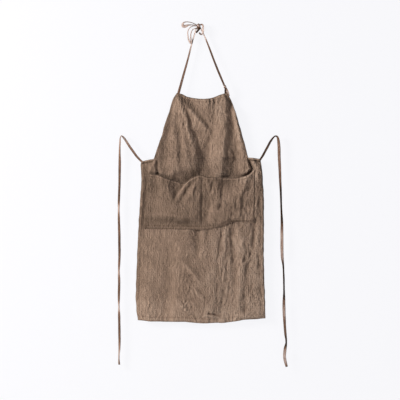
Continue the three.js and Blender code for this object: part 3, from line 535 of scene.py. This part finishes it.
# Broad swells that the body and the pocket on it share
SWELLS = table_of(FOLD, {
    "left side swell": [(-497, -228, 0, 52, 48), (-530, -228, 4, 52, 52), (-568, -226, 9),
        (-642, -231, 10), (-716, -235, 8), (-790, -235, 4, 52, 48), (-849, -235, 0, 52, 44)],
})

# Level folds, which run along x with z as the middle
LEVEL_FOLDS = table_of(FOLD, {
    "sag under the bib": [(-190, -570, -4, 40, 35), (-110, -575, -8), (-55, -575, -4), (0, -575, -2),
        (60, -575, -4), (110, -575, -8), (190, -570, -4)],
    "hollow over the pocket mouth": [(-180, -540, -2, 40, 6), (-150, -546, -7), (-105, -560, -5, 40, 8),
        (-80, -572, -11, 40, 32), (-55, -580, -13, 40, 42), (-20, -562, -11, 40, 22),
        (7, -552, -2, 40, 6), (60, -560, -2), (110, -560, -6, 40, 8), (150, -560, -6),
        (195, -548, -9, 40, 10), (215, -530, 0)],
    "hem curl": [(12, -1072, 0, 6, 9), (32, -1070, 5), (62, -1076, 7), (92, -1083, 4), (112, -1086, 0)],
    "hem curl crease": [(28, -1062, 0, 4, 5), (40, -1065, -8), (70, -1072, -8), (96, -1077, 0)],
    "right hem sag": [(140, -1070, 0, 8, 14), (170, -1072, 7), (192, -1071, 6), (225, -1070, 4),
        (246, -1068, 1)],
})

# Lines of painted shade along the folds, or of painted highlight where the lift is below 0: laid out as
# folds are, with
#  the amount of shade as the lift
PAINTED_LINE_STRENGTH = 0.35
PAINTED_LIGHT_AND_SHADE_LINES = table_of(FOLD, {
    "worn right rim": [(-339, 130, 0, 7, 6), (-357, 135, -0.9), (-390, 144, -1.2), (-424, 154, -0.8),
        (-457, 161, 0)],
    "beside the deep valley": [(-394, -44, 0, 11, 11), (-413, -41, 0.8), (-435, -41, 0.7),
        (-457, -39, 0.5, 11, 9), (-487, -37, 0)],
    "foot of the deep valley": [(-520, -13, 0, 15, 15), (-538, -13, 1.2), (-557, -17, 1.2),
        (-568, -17, 0)],
    "low right valley": [(-464, 117, 0, 9, 11), (-483, 118, 0.7), (-516, 124, 1, 11, 11),
        (-542, 126, 1.4), (-561, 126, 0)],
    "low right of the bib": [(-490, 170, 0, 13, 7), (-505, 170, 1), (-527, 170, 1), (-546, 170, 0)],
    "low left of the bib": [(-475, -133, 0, 15, 18), (-494, -133, 0.7), (-535, -133, 0.6),
        (-549, -133, 0)],
    "worn right of the skirt": [(-864, 209, 0, 15, 15), (-901, 209, -0.45), (-1012, 209, -0.45),
        (-1056, 209, 0)],
    "worn centre of the skirt": [(-871, 35, 0, 30, 22), (-919, 35, -0.5), (-1042, 35, -0.6, 30, 18),
        (-1079, 35, 0)],
    "under the corner ridge": [(-250, -65, 0, 7, 11), (-265, -57, 1.2, 9, 13), (-283, -43, 1.5, 11, 20),
        (-302, -24, 1.4, 10, 18), (-316, -9, 1.3, 7, 15), (-335, 7, 1.2, 6, 11), (-357, 26, 1, 5, 9),
        (-376, 41, 0.6, 5, 7), (-390, 46, 0, 6, 7)],
    "beside the left fan": [(-276, -59, 0, 6, 7), (-290, -55, 1.1, 6, 8), (-316, -46, 1),
        (-339, -40, 0.7), (-368, -30, 0.5, 6, 7), (-398, -20, 0.4, 7, 7), (-427, -9, 0)],
    "worn top edge": [(-261, 13, 0, 18, 15), (-276, 13, -0.7, 22, 15), (-294, 20, -0.6, 18, 11),
        (-316, 28, 0, 15, 11)],
    "worn top of the plane": [(-246, 83, 0, 18, 11), (-265, 83, -0.8, 20, 11), (-302, 80, -0.8, 20, 13),
        (-346, 80, -0.5), (-398, 76, 0)],
})

# Broad patches that are paler, or darker where the fade is below 0. Each comes in between two places
# across, two
#  places down, and two places up from its lower end.
BODY_PATCHES = table_of("name part fade across down up", [
    ("left side", "all", -0.22, (-180, -200), (-500, -560), (-980, -860)),
    ("left wing", "skirt", -0.3, (-160, -172), None, (-560, -535)),
    ("left of the bib", "bib", -0.14, (-40, -60), (-330, -390), None),
    ("behind the left pouch", "all", -0.22, (20, -20), (-470, -520), (-600, -560)),
    ("left of the skirt", "all", -0.12, (-20, -60), (-780, -840), (-970, -910)),
    ("right of the skirt", "all", 0.36, (20, 80), (-700, -800), None),
    ("low right side", "all", 0.25, (212, 228), (-900, -960), None),
    ("above the hem", "all", 0.3, None, (-1000, -1060), None),
])


def fold_lift(folds, along, beside):
    """Lift of a set of folds at places along them and beside them."""
    total = np.zeros_like(along)
    for rows in folds.values():
        away = beside - read_table(rows, "middle", along)
        half = np.where(away < 0, read_table(rows, "low", along), read_table(rows, "high", along))
        total += read_table(rows, "lift", along) * bell(away, half)
    return total


def side_room(x, z, on_bib):
    """Distance to the nearer side edge of the body."""
    bib = np.minimum(x - read_table(BIB_SIDES, "left", z), read_table(BIB_SIDES, "right", z) - x)
    skirt = np.minimum(x - read_table(SKIRT_SIDES, "left", z), read_table(SKIRT_SIDES, "right", z) - x)
    return np.maximum(0, np.where(on_bib, bib, skirt))


def crinkle(x, z, seed):
    """Creases left by washing: short narrow ones that run down the cloth, over softer broad ones. They
    slant across the middle of the skirt and are stronger to the right."""
    wander = x + 6 * grain(x / 60, z / 80, seed) + 2.4 * grain(x / 22, z / 40, seed + 1)
    slant = wander + 0.7 * z * smooth(90, 20, np.abs(x + 5)) * smooth(-700, -850, z)
    broad = 1.2 * grain(wander / 34, z / 110, seed + 2)
    middle = 1.25 * grain(slant / 13, z / 38, seed + 3)
    fine = 1.25 * grain(slant / 7.5, z / 19, seed + 4)
    strength = (0.72 + 0.53 * smooth(-120, -40, x)
                + (0.2 + 0.15 * smooth(-720, -780, z)) * smooth(40, 100, x))
    patch = strength * (1 + 0.6 * grain(x / 70, z / 70, seed + 5))
    return broad + (middle + fine) * patch


def body_lift(x, z, on_bib):
    """How far the body stands out, with its folds and creases but without its hems."""
    wx = x + 1.4 * grain(x / 40, z / 45, 3) + 0.7 * grain(x / 14, z / 16, 6)
    wz = z + 1.5 * grain(x / 45, z / 40, 4)
    rolled = read_table(BODY_LIFT, "roll", z) * (1 - smooth(0, ROLL_RUN, side_room(x, z, on_bib)))
    folds = fold_lift(LEVEL_FOLDS, wx, wz)
    for upright in (BIB_FOLDS, SKIRT_FOLDS, WING_FOLDS, SWELLS):
        folds += fold_lift(upright, wz, wx)
    stand = read_table(BODY_LIFT, "lift", z) - rolled
    return np.maximum(BACK_LIMIT, stand + folds + crinkle(x, z, 5))


def hem_lift(distance, width, run):
    """The double layer of a hem: puckered, sunk along its stitching and rolled back at the edge."""
    layer = 1 - smooth(width - 1.5, width + 1.5, distance)
    groove = bell(distance - width + STITCH_INSET, 1.9)
    pucker = grain(run / 8, distance / 30, 71) + 0.5 * grain(run / 5, distance / 20, 72)
    near = 1 - smooth(0, width * 2.2, distance)
    edge = bell(distance, 2.2)
    return 1.1 * layer - 0.9 * groove + pucker * near - edge


def hem_wear_and_shade(distance, width):
    """Darker at the very edge, where shade is painted as it turns back, and along the stitching, where
    shade is painted in its groove; paler on the roll between them, rubbed and with a painted highlight.
    """
    edge = bell(distance, 2.4)
    stitching = bell(distance - width + STITCH_INSET, 2.0)
    roll = bell(distance - width / 2, 2.4)
    return 0.15 * roll - 0.8 * edge - 0.25 * stitching


def spread(*stops):
    """Grid lines from stop to stop, each stop a place and the number of steps up to the next."""
    lines = [stops[0][0]]
    for (start, steps), (end, _) in zip(stops, stops[1:]):
        lines += list(np.linspace(start, end, steps + 1)[1:])
    return np.array(lines)


# Passes that blur the cloth around a ridge, and the change of colour for each millimetre that it stands
# out or lies deeper: paler on ridges, painted shade in hollows
RIDGE_BLUR = 40
RIDGE_SHADING = 0.14


def ridge_wear_and_shade(lift, darkest, palest):
    """Paler where the cloth stands out from the cloth around it, rubbed and with a painted highlight, and
    painted shade in what lies deeper.
    """
    blurred = lift
    for _ in range(RIDGE_BLUR):
        padded = np.pad(blurred, 1, mode="edge")
        blurred = (padded[:-2, 1:-1] + padded[2:, 1:-1] + padded[1:-1, :-2] + padded[1:-1, 2:]
                   + 4 * padded[1:-1, 1:-1]) / 8
    return np.clip(RIDGE_SHADING * (lift - blurred), darkest, palest)


# Grid of the body: lines down it at shares of its width, and rows across the bib and then the skirt
shares = spread((0, 8), (0.036, 9), (ARMHOLE_LEFT, 6), (0.119, 106), (0.874, 6), (ARMHOLE_RIGHT, 9),
                (0.964, 8), (1, 0))
bib_down = spread((0, 8), (0.075, 72), (1, 0))[:-1]
skirt_down = spread((0, 8), (0.03, 180), (0.955, 12), (1, 0))
waist_row = len(bib_down)
bib_share = np.clip((shares - ARMHOLE_LEFT) / (ARMHOLE_RIGHT - ARMHOLE_LEFT), 0, 1)
waist_z = read_table(WAIST, "z", shares)
bib_top_z = read_table(BIB_TOP, "z", bib_share)
hem_z = read_table(HEM_LINE, "z", shares)
bib_z = bib_top_z + (waist_z - bib_top_z) * bib_down[:, None]
skirt_z = waist_z + (hem_z - waist_z) * skirt_down[:, None]
bib_left = read_table(BIB_SIDES, "left", bib_z)
bib_x = bib_left + (read_table(BIB_SIDES, "right", bib_z) - bib_left) * bib_share
skirt_left = read_table(SKIRT_SIDES, "left", skirt_z)
skirt_x = skirt_left + (read_table(SKIRT_SIDES, "right", skirt_z) - skirt_left) * shares
body_x, body_z = np.vstack([bib_x, skirt_x]), np.vstack([bib_z, skirt_z])
on_bib = np.arange(len(body_x))[:, None] < waist_row
on_wing = ~on_bib & ((shares < ARMHOLE_LEFT) | (shares > ARMHOLE_RIGHT))

lift = body_lift(body_x, body_z, on_bib)
room = side_room(body_x, body_z, on_bib)
from_top, from_waist, from_hem = bib_top_z - body_z, waist_z - body_z, body_z - hem_z
body_parts = {"all": True, "bib": on_bib, "skirt": ~on_bib, "wings": on_wing}
hems = np.zeros_like(body_x)
# The body's colour carries painted light and shade: paler ridges and darker hollows, the painted lines
# above, and darker hem edges and stitching under paler rolls; the patches below are broad paler and darker
# areas
body_wear_and_shade = ridge_wear_and_shade(lift, -0.7, 0.4) - PAINTED_LINE_STRENGTH * fold_lift(PAINTED_LIGHT_AND_SHADE_LINES, body_z, body_x)
for part, distance, width, run in (
        ("bib", room, ARMHOLE_HEM, body_z), ("skirt", room, SIDE_HEM, body_z),
        ("all", from_hem, BOTTOM_HEM, body_x), ("bib", from_top, BIB_TOP_HEM, body_x),
        ("wings", from_waist, WING_HEM, body_x)):
    hems += np.where(body_parts[part], hem_lift(distance, width, run), 0)
    body_wear_and_shade += np.where(body_parts[part], hem_wear_and_shade(distance, width), 0)
for patch in BODY_PATCHES:
    fade = (patch.fade * within(patch.across, body_x) * within(patch.down, body_z)
            * within(patch.up, body_z))
    body_wear_and_shade += np.where(body_parts[patch.part], fade, 0)
# The wings' hems are pressed to a sharp line at their fold, sunk as a groove with painted shade in it,
# under a roll with a painted highlight
wing_line = np.where(on_wing, bell(from_waist - WING_HEM, 2.6), 0)
wing_roll_highlight = np.where(on_wing, bell(from_waist - 3, 3), 0)
hems -= 2.8 * wing_line
body_wear_and_shade += 0.7 * wing_roll_highlight - 2.6 * wing_line
# The right side of the skirt curls back at its very edge
from_right = np.maximum(0, read_table(SKIRT_SIDES, "right", body_z) - body_x)
hems -= np.where(on_bib, 0, 1.8 * bell(from_right, 5))
# The edges waver a little where the hems pucker
waver = 1.3 * grain(body_z / 26, body_x / 200, 81) * (1 - smooth(0, 40, room))
sag = 1.2 * grain(body_x / 30, body_z / 200, 82) * (1 - smooth(0, 50, from_hem))
body_points = np.stack([body_x + waver, -(lift + hems), body_z + sag], axis=-1)
body_flat = np.stack([body_x * MM, body_z * MM], axis=-1)
cells = np.ones((len(body_x) - 1, len(shares) - 1), bool)
cells[:waist_row] = (shares[:-1] >= ARMHOLE_LEFT - 1e-6) & (shares[1:] <= ARMHOLE_RIGHT + 1e-6)
# The bib and the right of the skirt are more crumpled
body_crumple = np.where(on_bib, 1.3, 0.9 + 1.1 * smooth(-120, 60, body_x))
body = lay_cloth("apron_body", body_points, body_flat, body_wear_and_shade, body_crumple, cells, LINEN,
                 CLOTH_THICKNESS)
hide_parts("body_panel")

# Pocket: one wide panel sewn down its middle, so that it makes two pouches
POCKET_SIDES = table_of("z left seam right", [
    (-520, -186, 14, 208), (-587, -191, 14, 207), (-640, -194, 13, 206), (-700, -198, 12, 205),
    (-755, -202, 12, 204),
])
POCKET_TOP = table_of(LEVEL, [
    (0, -544), (0.07, -547), (0.16, -560), (0.26, -573), (0.33, -580), (0.39, -563), (0.45, -552),
    (0.49, -551), (0.53, -557), (0.78, -560), (0.88, -557), (0.955, -546), (1, -526),
])
POCKET_SEAM = table_of(LEVEL, [
    (0, -748), (0.45, -752), (0.51, -752), (0.62, -745), (0.71, -737), (0.77, -726), (0.81, -723),
    (1, -722),
])
SEAM_SHARE = 0.49
POCKET_HEM = 11
POCKET_CRUMPLE = 1.5
# Rows of stitching over the foot, and beside the sides and the middle seam
FIRST_ROW, SECOND_ROW = 2.5, 12
SIDE_ROW, SEAM_ROW = 3, 2
# How far the pocket stands off the body at its mouth and in its belly, how far down the belly turns
# under, and how far the mouth's edge leans out
POCKET_GAPE = table_of("share mouth belly turn lean", [
    (0, 0, 0, 0.7, 0), (0.03, 3, 5, 0.7, 0), (0.12, 5, 12, 0.7, 0), (0.25, 5, 18, 0.7, 0),
    (0.38, 5, 17, 0.74, 2), (0.468, 7, 10, 0.76, 6), (0.49, 3, 4, 0.8, 6), (0.51, 3, 3, 0.84, 9),
    (0.56, 5, 3, 0.86, 13), (0.62, 9, 6, 0.88, 14), (0.7, 10, 8, 0.89, 7), (0.82, 6, 7, 0.89, 0),
    (0.9, 4, 4, 0.89, 0), (1, 0, 0, 0.89, 0),
])
POCKET_FOLDS = table_of(FOLD, {
    "dent over the seam": [(-709, 61, 0, 6, 7), (-723, 68, -2.6), (-734, 74, -2.6), (-746, 80, 0)],
    "lap second hollow": [(-564, -9, 0, 7, 11), (-583, -26, -2.6), (-605, -43, -3.6),
        (-627, -54, -3.4, 8, 11), (-649, -67, -2.2), (-672, -76, 0, 7, 11)],
    "right pouch hollow": [(-516, 91, -9, 41, 52), (-561, 92, -11), (-605, 96, -10), (-642, 98, -6),
        (-686, 98, 0)],
    "right low crease in the pouch": [(-627, 200, 0, 7, 7), (-646, 194, -1.8), (-672, 184, -1.5),
        (-694, 176, 0)],
    "right corner ridge": [(-538, 198, 2, 22, 7), (-561, 192, 3), (-575, 187, 3, 26, 11),
        (-590, 176, 3, 26, 17), (-605, 161, 3.6, 26, 13), (-627, 151, 3.6, 26, 10),
        (-653, 146, 2.2, 22, 9), (-679, 142, 0, 22, 11)],
    "lap hollow": [(-538, -31, -8, 52, 6), (-561, -43, -10), (-583, -55, -10, 48, 6),
        (-605, -70, -9, 33, 6), (-623, -81, -7, 18, 6), (-642, -88, -3, 11, 6), (-664, -94, 0, 11, 7)],
    "left pouch dent": [(-538, -159, 0, 15, 11), (-561, -155, -4.5, 22, 11), (-598, -154, -5),
        (-627, -154, -4, 18, 15), (-664, -150, -2, 22, 18), (-694, -150, 0)],
    "lap rim": [(-531, -120, 6.5, 41, 28), (-561, -120, 7.5, 41, 23), (-583, -120, 8, 39, 20),
        (-605, -115, 8, 37, 17), (-623, -107, 6.5, 37, 15), (-642, -96, 4.2, 35, 12),
        (-675, -83, 0, 30, 11)],
    "lap crest": [(-538, 6, 2, 5, 11), (-553, -9, 2.2), (-568, -30, 2.8, 6, 13), (-583, -44, 3, 7, 15),
        (-605, -65, 3.3), (-623, -76, 3.3), (-642, -84, 2.4, 6, 13), (-664, -91, 0, 6, 11)],
    "lap second crest": [(-564, 2, 0, 13, 11), (-586, -9, 2.5), (-605, -25, 3), (-627, -33, 3),
        (-649, -50, 1.5), (-672, -61, 0, 11, 11)],
    "right first hollow": [(-553, 50, -2, 9, 9), (-586, 54, -3), (-612, 43, -2), (-642, 35, 0)],
    "right hanging valley": [(-561, 89, 0, 11, 9), (-583, 89, -2), (-609, 88, -3), (-631, 87, -3.5, 9, 9),
        (-653, 85, 0, 7, 7)],
    "right dimple": [(-648, 80, 0, 7, 7), (-666, 83, -7.5, 11, 11), (-684, 80, 0, 7, 7)],
    "right corner valley": [(-561, 192, 0, 9, 11), (-583, 183, -1), (-605, 176, -1.8, 9, 10),
        (-627, 166, -2, 8, 8), (-653, 162, -2), (-672, 157, -1.2), (-690, 152, 0, 9, 9)],
    "right side valley": [(-546, 205, 0, 7, 7), (-564, 200, -4), (-586, 198, -3), (-605, 191, -1.2),
        (-623, 183, -1.8, 7, 8), (-642, 176, -1.8), (-664, 168, 0)],
    "right seam ridge": [(-635, 54, 0, 11, 30), (-653, 57, 3, 11, 33), (-668, 56, 5, 11, 37),
        (-697, 49, 7, 11, 44), (-716, 50, 6, 12, 44), (-734, 54, 4, 13, 44), (-757, 57, 1)],
})
# Bands painted paler, or darker where the fade is below 0, each at a distance from an edge of the pocket:
# painted shadow along the foot, lighter just right of the seam and deepest under the right pouch; painted
# shade by the left edge, under the left belly and under the right mouth beside the seam; painted
# highlights along the middle seam and on the right mouth and rim at the side; and darker lines along the
# left stitching and the left pouch's second row. Each comes in and goes out between two places across, in
# millimetres or as shares of the width
POCKET_LIGHT_AND_SHADE = table_of("name fade edge middle half across comes goes", [
    ("left edge", -0.35, "left", 0, 20, "x", None, None),
    ("left stitching", -0.1, "left", 0, 2.6, "x", None, None),
    ("middle stitching", 0.25, "centre", 0, 2.6, "x", None, None),
    ("foot", -0.4, "foot", 2, 2, "x", None, None),
    ("foot right of the seam", 0.36, "foot", 2, 2, "x", (24, 34), None),
    ("foot of the right pouch", -0.9, "foot", 3, 3.5, "x", (112, 124), None),
    ("second row of the left pouch", -0.4, "foot", SECOND_ROW, 2, "x", None, (60, 30)),
    ("under the left belly", -0.4, "belly", 0.1, 0.09, "share", (0.08, 0.2), (0.44, 0.34)),
    ("right mouth beside the seam", -0.5, "mouth", 10, 16, "share", (0.5, 0.53), (0.74, 0.66)),
    ("right mouth at the side", 0.45, "mouth", 14, 16, "share", (0.78, 0.86), None),
    ("right rim at the side", 1.3, "mouth", 0, 4, "share", (0.85, 0.9), None),
])

# Grid of the pocket: lines down each pouch, and rows from the mouth to the foot
pocket_share = np.concatenate([np.linspace(0, SEAM_SHARE, 81), np.linspace(SEAM_SHARE, 1, 81)[1:]])
pocket_down = spread((0, 8), (0.07, 62), (0.84, 24), (1, 0))[:, None]
top_z = read_table(POCKET_TOP, "z", pocket_share)
seam_z = read_table(POCKET_SEAM, "z", pocket_share)
pocket_z = top_z + (seam_z - top_z) * pocket_down
pocket_left = read_table(POCKET_SIDES, "left", pocket_z)
pocket_seam = read_table(POCKET_SIDES, "seam", pocket_z)
pocket_right = read_table(POCKET_SIDES, "right", pocket_z)
in_left = pocket_share < SEAM_SHARE
left_part = pocket_share / SEAM_SHARE
right_part = (pocket_share - SEAM_SHARE) / (1 - SEAM_SHARE)
pocket_x = np.where(in_left, pocket_left + (pocket_seam - pocket_left) * left_part,
                    pocket_seam + (pocket_right - pocket_seam) * right_part)
from_left, from_centre = pocket_x - pocket_left, np.abs(pocket_x - pocket_seam)
from_edge = np.minimum(np.minimum(from_left, pocket_right - pocket_x), from_centre)
from_foot, from_mouth = pocket_z - seam_z, top_z - pocket_z
turn = read_table(POCKET_GAPE, "turn", pocket_share)
mouth = read_table(POCKET_GAPE, "mouth", pocket_share) * (1 - pocket_down) ** 1.3
belly = (read_table(POCKET_GAPE, "belly", pocket_share) * smooth(0, 0.62, pocket_down)
         * smooth(turn + np.where(in_left, 0.19, 0.1), turn, pocket_down))
lean = read_table(POCKET_GAPE, "lean", pocket_share) * bell(from_mouth, 36)
creases = fold_lift(POCKET_FOLDS, pocket_z, pocket_x) * smooth(2, 22, from_edge)
loose = smooth(0, 14, from_edge) * smooth(0, 12, from_foot)
pocket_form = ((mouth + belly + lean + creases) * smooth(-1, 6, from_foot)
               + crinkle(pocket_x, pocket_z, 17) * (0.3 + 0.68 * loose))
pocket_hem = hem_lift(from_mouth, POCKET_HEM, pocket_x) - 2.5 * bell(from_mouth, 3)
base = read_table(BODY_LIFT, "lift", pocket_z) + fold_lift(SWELLS, pocket_z, pocket_x)
# The pocket never sinks into the body: it lies on it along its seams and a little off it elsewhere
flush = 1.35 + 0.85 * smooth(0, 8, np.minimum(from_edge, from_foot))
pocket_lift = np.maximum(base + 1.5 + pocket_form + pocket_hem,
                         body_lift(pocket_x, pocket_z, False) + flush)
pocket_points = np.stack([pocket_x, -pocket_lift, pocket_z], axis=-1)
pocket_flat = np.stack([pocket_x * MM + 0.6, pocket_z * MM], axis=-1)
# The pocket is darker than the body, but paler in the right pouch and towards its side; it takes the
# ridges' and the mouth hem's painted light and shade as the body does
pocket_wear_and_shade = (ridge_wear_and_shade(pocket_lift, -0.5, 0.5) + hem_wear_and_shade(from_mouth, POCKET_HEM)
               - 0.4 + 0.22 * smooth(20, 40, pocket_x)
               + 0.25 * smooth(0.85, 0.93, pocket_share) * smooth(20, 60, from_mouth))
pocket_edges = {"left": from_left, "centre": from_centre, "foot": from_foot, "mouth": from_mouth,
                "belly": pocket_down - turn}
for band in POCKET_LIGHT_AND_SHADE:
    place = pocket_x if band.across == "x" else pocket_share
    pocket_wear_and_shade += (band.fade * bell(pocket_edges[band.edge] - band.middle, band.half)
                    * within(band.comes, place) * within(band.goes, place))
pocket = lay_cloth("apron_pocket", pocket_points, pocket_flat, pocket_wear_and_shade,
                   np.full_like(pocket_wear_and_shade, POCKET_CRUMPLE), None, LINEN, CLOTH_THICKNESS)
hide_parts("pocket_panel")

# Stitching: short raised stitches along the hems and the pocket's seams
STITCH_LENGTH, STITCH_PITCH = 2.9, 3.9
STITCH_HALF = (STITCH_LENGTH / 2 * MM, 0.5 * MM, 0.4 * MM, 1)
STITCH_LIFT = 0.55
STITCH_CRUMPLE = 0.3


def sew(name, lines):
    """Stitches along lines of points on the cloth, each line with the cloth's own facing."""
    thread = bmesh.new()
    for points, facing in lines:
        run = np.concatenate([[0], np.cumsum(np.linalg.norm(np.diff(points, axis=0), axis=1))])
        for start in np.arange(STITCH_PITCH, run[-1] - STITCH_PITCH, STITCH_PITCH):
            at = Vector([np.interp(start, run, points[:, k]) for k in range(3)])
            ahead = Vector([np.interp(start + 1, run, points[:, k]) for k in range(3)]) - at
            out = Vector([np.interp(start, run, facing[:, k]) for k in range(3)]).normalized()
            ahead = (ahead - out * ahead.dot(out)).normalized()
            turned = Matrix((ahead, out.cross(ahead), out)).transposed().to_4x4()
            place = Matrix.Translation((at + out * STITCH_LIFT) * MM)
            bmesh.ops.create_icosphere(thread, subdivisions=1, radius=1,
                                       matrix=place @ turned @ Matrix.Diagonal(STITCH_HALF))
    creased = thread.verts.layers.float.new("crumple")
    for vert in thread.verts:
        vert[creased] = STITCH_CRUMPLE
    weave_map = thread.loops.layers.uv.new("cloth")
    for face in thread.faces:
        for loop in face.loops:
            loop[weave_map].uv = (loop.vert.co.x, loop.vert.co.z)
    piece = new_object(name, thread, THREAD)
    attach(piece, "root")


def facing_front(points):
    """The outward direction of a grid of cloth at each of its points."""
    out = np.cross(np.gradient(points, axis=0), np.gradient(points, axis=1))
    return out / np.maximum(np.linalg.norm(out, axis=-1, keepdims=True), 1e-9)


def line_at(grid, distance, value, rows=slice(None), columns=slice(None), down=True):
    """The line of grid points, down or across, whose distance from an edge is nearest to a value."""
    points, facing = grid[rows, columns], facing_front(grid)[rows, columns]
    nearest = np.argmin(np.abs(distance[rows, columns] - value), axis=1 if down else 0)
    along = np.arange(len(nearest))
    pick = (along, nearest) if down else (nearest, along)
    return points[pick], facing[pick]


middle_column = len(shares) // 2
first = int(np.argmin(np.abs(shares - ARMHOLE_LEFT)))
last = int(np.argmin(np.abs(shares - ARMHOLE_RIGHT)))
bib_rows, skirt_rows = slice(0, waist_row), slice(waist_row, None)
hem_lines = (
    (room, SIDE_HEM, skirt_rows, slice(0, middle_column)),
    (room, SIDE_HEM, skirt_rows, slice(middle_column, None)),
    (room, ARMHOLE_HEM, bib_rows, slice(first, middle_column)),
    (room, ARMHOLE_HEM, bib_rows, slice(middle_column, last + 1)),
    (from_hem, BOTTOM_HEM, skirt_rows, slice(None), False),
    (from_top, BIB_TOP_HEM, bib_rows, slice(first, last + 1), False),
    (from_waist, WING_HEM, skirt_rows, slice(0, first), False),
    (from_waist, WING_HEM, skirt_rows, slice(last, None), False),
)
sew("hem_stitching", [line_at(body_points, distance, width - STITCH_INSET, *place)
                      for distance, width, *place in hem_lines])
sew("pocket_stitching", [
    line_at(pocket_points, from_mouth, POCKET_HEM - STITCH_INSET, down=False),
    line_at(pocket_points, from_foot, FIRST_ROW, down=False),
    line_at(pocket_points, from_foot, SECOND_ROW, down=False),
    line_at(pocket_points, from_left, SIDE_ROW),
    line_at(pocket_points, pocket_right - pocket_x, SIDE_ROW),
    line_at(pocket_points, pocket_x - pocket_seam, -SEAM_ROW),
    line_at(pocket_points, pocket_x - pocket_seam, SEAM_ROW),
])


# Knots: tape wound into a rounded lump. The sphere operator leaves its corners and faces in another order
# on each run, so they are sorted along a slanted line.
SORT_LINE = Vector((0.37, 0.61, 1))


def wind_knot(name, half, at, seed):
    """A lump with soft ridges that wind round it as the turns of the tape do."""
    lump = bmesh.new()
    bmesh.ops.create_uvsphere(lump, u_segments=48, v_segments=32, radius=1)
    lump.verts.sort(key=lambda vert: vert.co.dot(SORT_LINE))
    lump.faces.sort(key=lambda face: face.calc_center_median().dot(SORT_LINE))
    worn_and_shaded = lump.verts.layers.float.new("wear")
    creased = lump.verts.layers.float.new("crumple")
    weave_map = lump.loops.layers.uv.new("cloth")
    for face in lump.faces:
        for loop in face.loops:
            co = loop.vert.co
            loop[weave_map].uv = (math.atan2(co.y, co.x) * half[0] * MM, co.z * half[2] * MM)
    for vert in lump.verts:
        turn = math.atan2(vert.co.y, vert.co.x)
        wrap = math.sin(vert.co.z * 5 + turn + seed)
        size = 1 + 0.09 * wrap + 0.05 * float(grain(np.array(turn * 2), np.array(vert.co.z * 3), seed))
        vert.co = Vector((at[0] + vert.co.x * half[0] * size, at[1] + vert.co.y * half[1] * size,
                          at[2] + vert.co.z * half[2])) * MM
        # The turns are painted paler on their ridges and darker between them: rubbing with a painted
        # highlight, and painted shade
        vert[worn_and_shaded] = 0.2 + 0.8 * wrap
        vert[creased] = 1
    piece = new_object(name, lump, TAPE)
    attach(piece, "root")
    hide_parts(name)


wind_knot("bow_knot", (7, 7, 12), (0, 0, 1), 2)
wind_knot("corner_knot", (5, 5, 6.5), (98, -11, -223.5), 3)


# Stage: a white backdrop that glows and shows only from its front, and a pale floor
def stage_sheet(name, place, colour, glow):
    """A flat sheet of matt paper, with a glow that its back doesn't have."""
    sheet = bmesh.new()
    bmesh.ops.create_grid(sheet, x_segments=1, y_segments=1, size=4, matrix=place)
    paper = bpy.data.materials.new(name + "_paper")
    paper.use_nodes = True
    tree = paper.node_tree
    tree.nodes.clear()
    surface = add_node(tree, "ShaderNodeBsdfDiffuse", {"Color": linear(colour)}).outputs["BSDF"]
    if glow:
        lit = add_node(tree, "ShaderNodeEmission", {"Color": linear("#fafafd"), "Strength": glow})
        both = add_node(tree, "ShaderNodeAddShader", links={0: surface, 1: lit.outputs["Emission"]})
        clear = add_node(tree, "ShaderNodeBsdfTransparent")
        behind = add_node(tree, "ShaderNodeNewGeometry")
        sides = {0: behind.outputs["Backfacing"], 1: both.outputs["Shader"], 2: clear.outputs["BSDF"]}
        surface = add_node(tree, "ShaderNodeMixShader", links=sides).outputs["Shader"]
    add_node(tree, "ShaderNodeOutputMaterial", links={"Surface": surface})
    piece = new_object(name, sheet, paper)
    return piece


BACKDROP_AT = (0, 0.014, 1.5)
BACKDROP_GLOW = 0.925
FLOOR_AT = (0, 0, -1.45)
upright = Matrix.Translation(BACKDROP_AT) @ Matrix.Rotation(math.radians(90), 4, "X")
backdrop = stage_sheet("backdrop", upright, "#4a4a4c", BACKDROP_GLOW)
backdrop.visible_diffuse = False
backdrop.visible_glossy = False
backdrop.visible_shadow = False
stage_sheet("floor", Matrix.Translation(FLOOR_AT), "#f4f3f2", 0)

# Light: a broad window from the upper left, a softer one from the right, and a bright room
APRON_MIDDLE = Vector((0, 0, -0.65))


def soft_light(name, place, size, power, colour):
    """A square lamp that faces the middle of the apron."""
    lamp = bpy.data.lights.new(name, "AREA")
    lamp.shape = "SQUARE"
    lamp.size = size
    lamp.energy = power
    lamp.color = linear(colour)[:3]
    light = bpy.data.objects.new(name, lamp)
    light.location = place
    light.rotation_euler = (APRON_MIDDLE - Vector(place)).to_track_quat("-Z", "Y").to_euler()
    bpy.context.scene.collection.objects.link(light)


soft_light("window", (-2.6, -1.55, 0.35), 0.9, 136, "#fffaf4")
soft_light("fill", (1.8, -3.2, 0.4), 0.5, 8, "#f4f7ff")
world = bpy.data.worlds.new("room")
world.use_nodes = True
room_light = world.node_tree.nodes["Background"]
room_light.inputs["Color"].default_value = linear("#f6f8ff")
room_light.inputs["Strength"].default_value = 0.2
bpy.context.scene.world = world
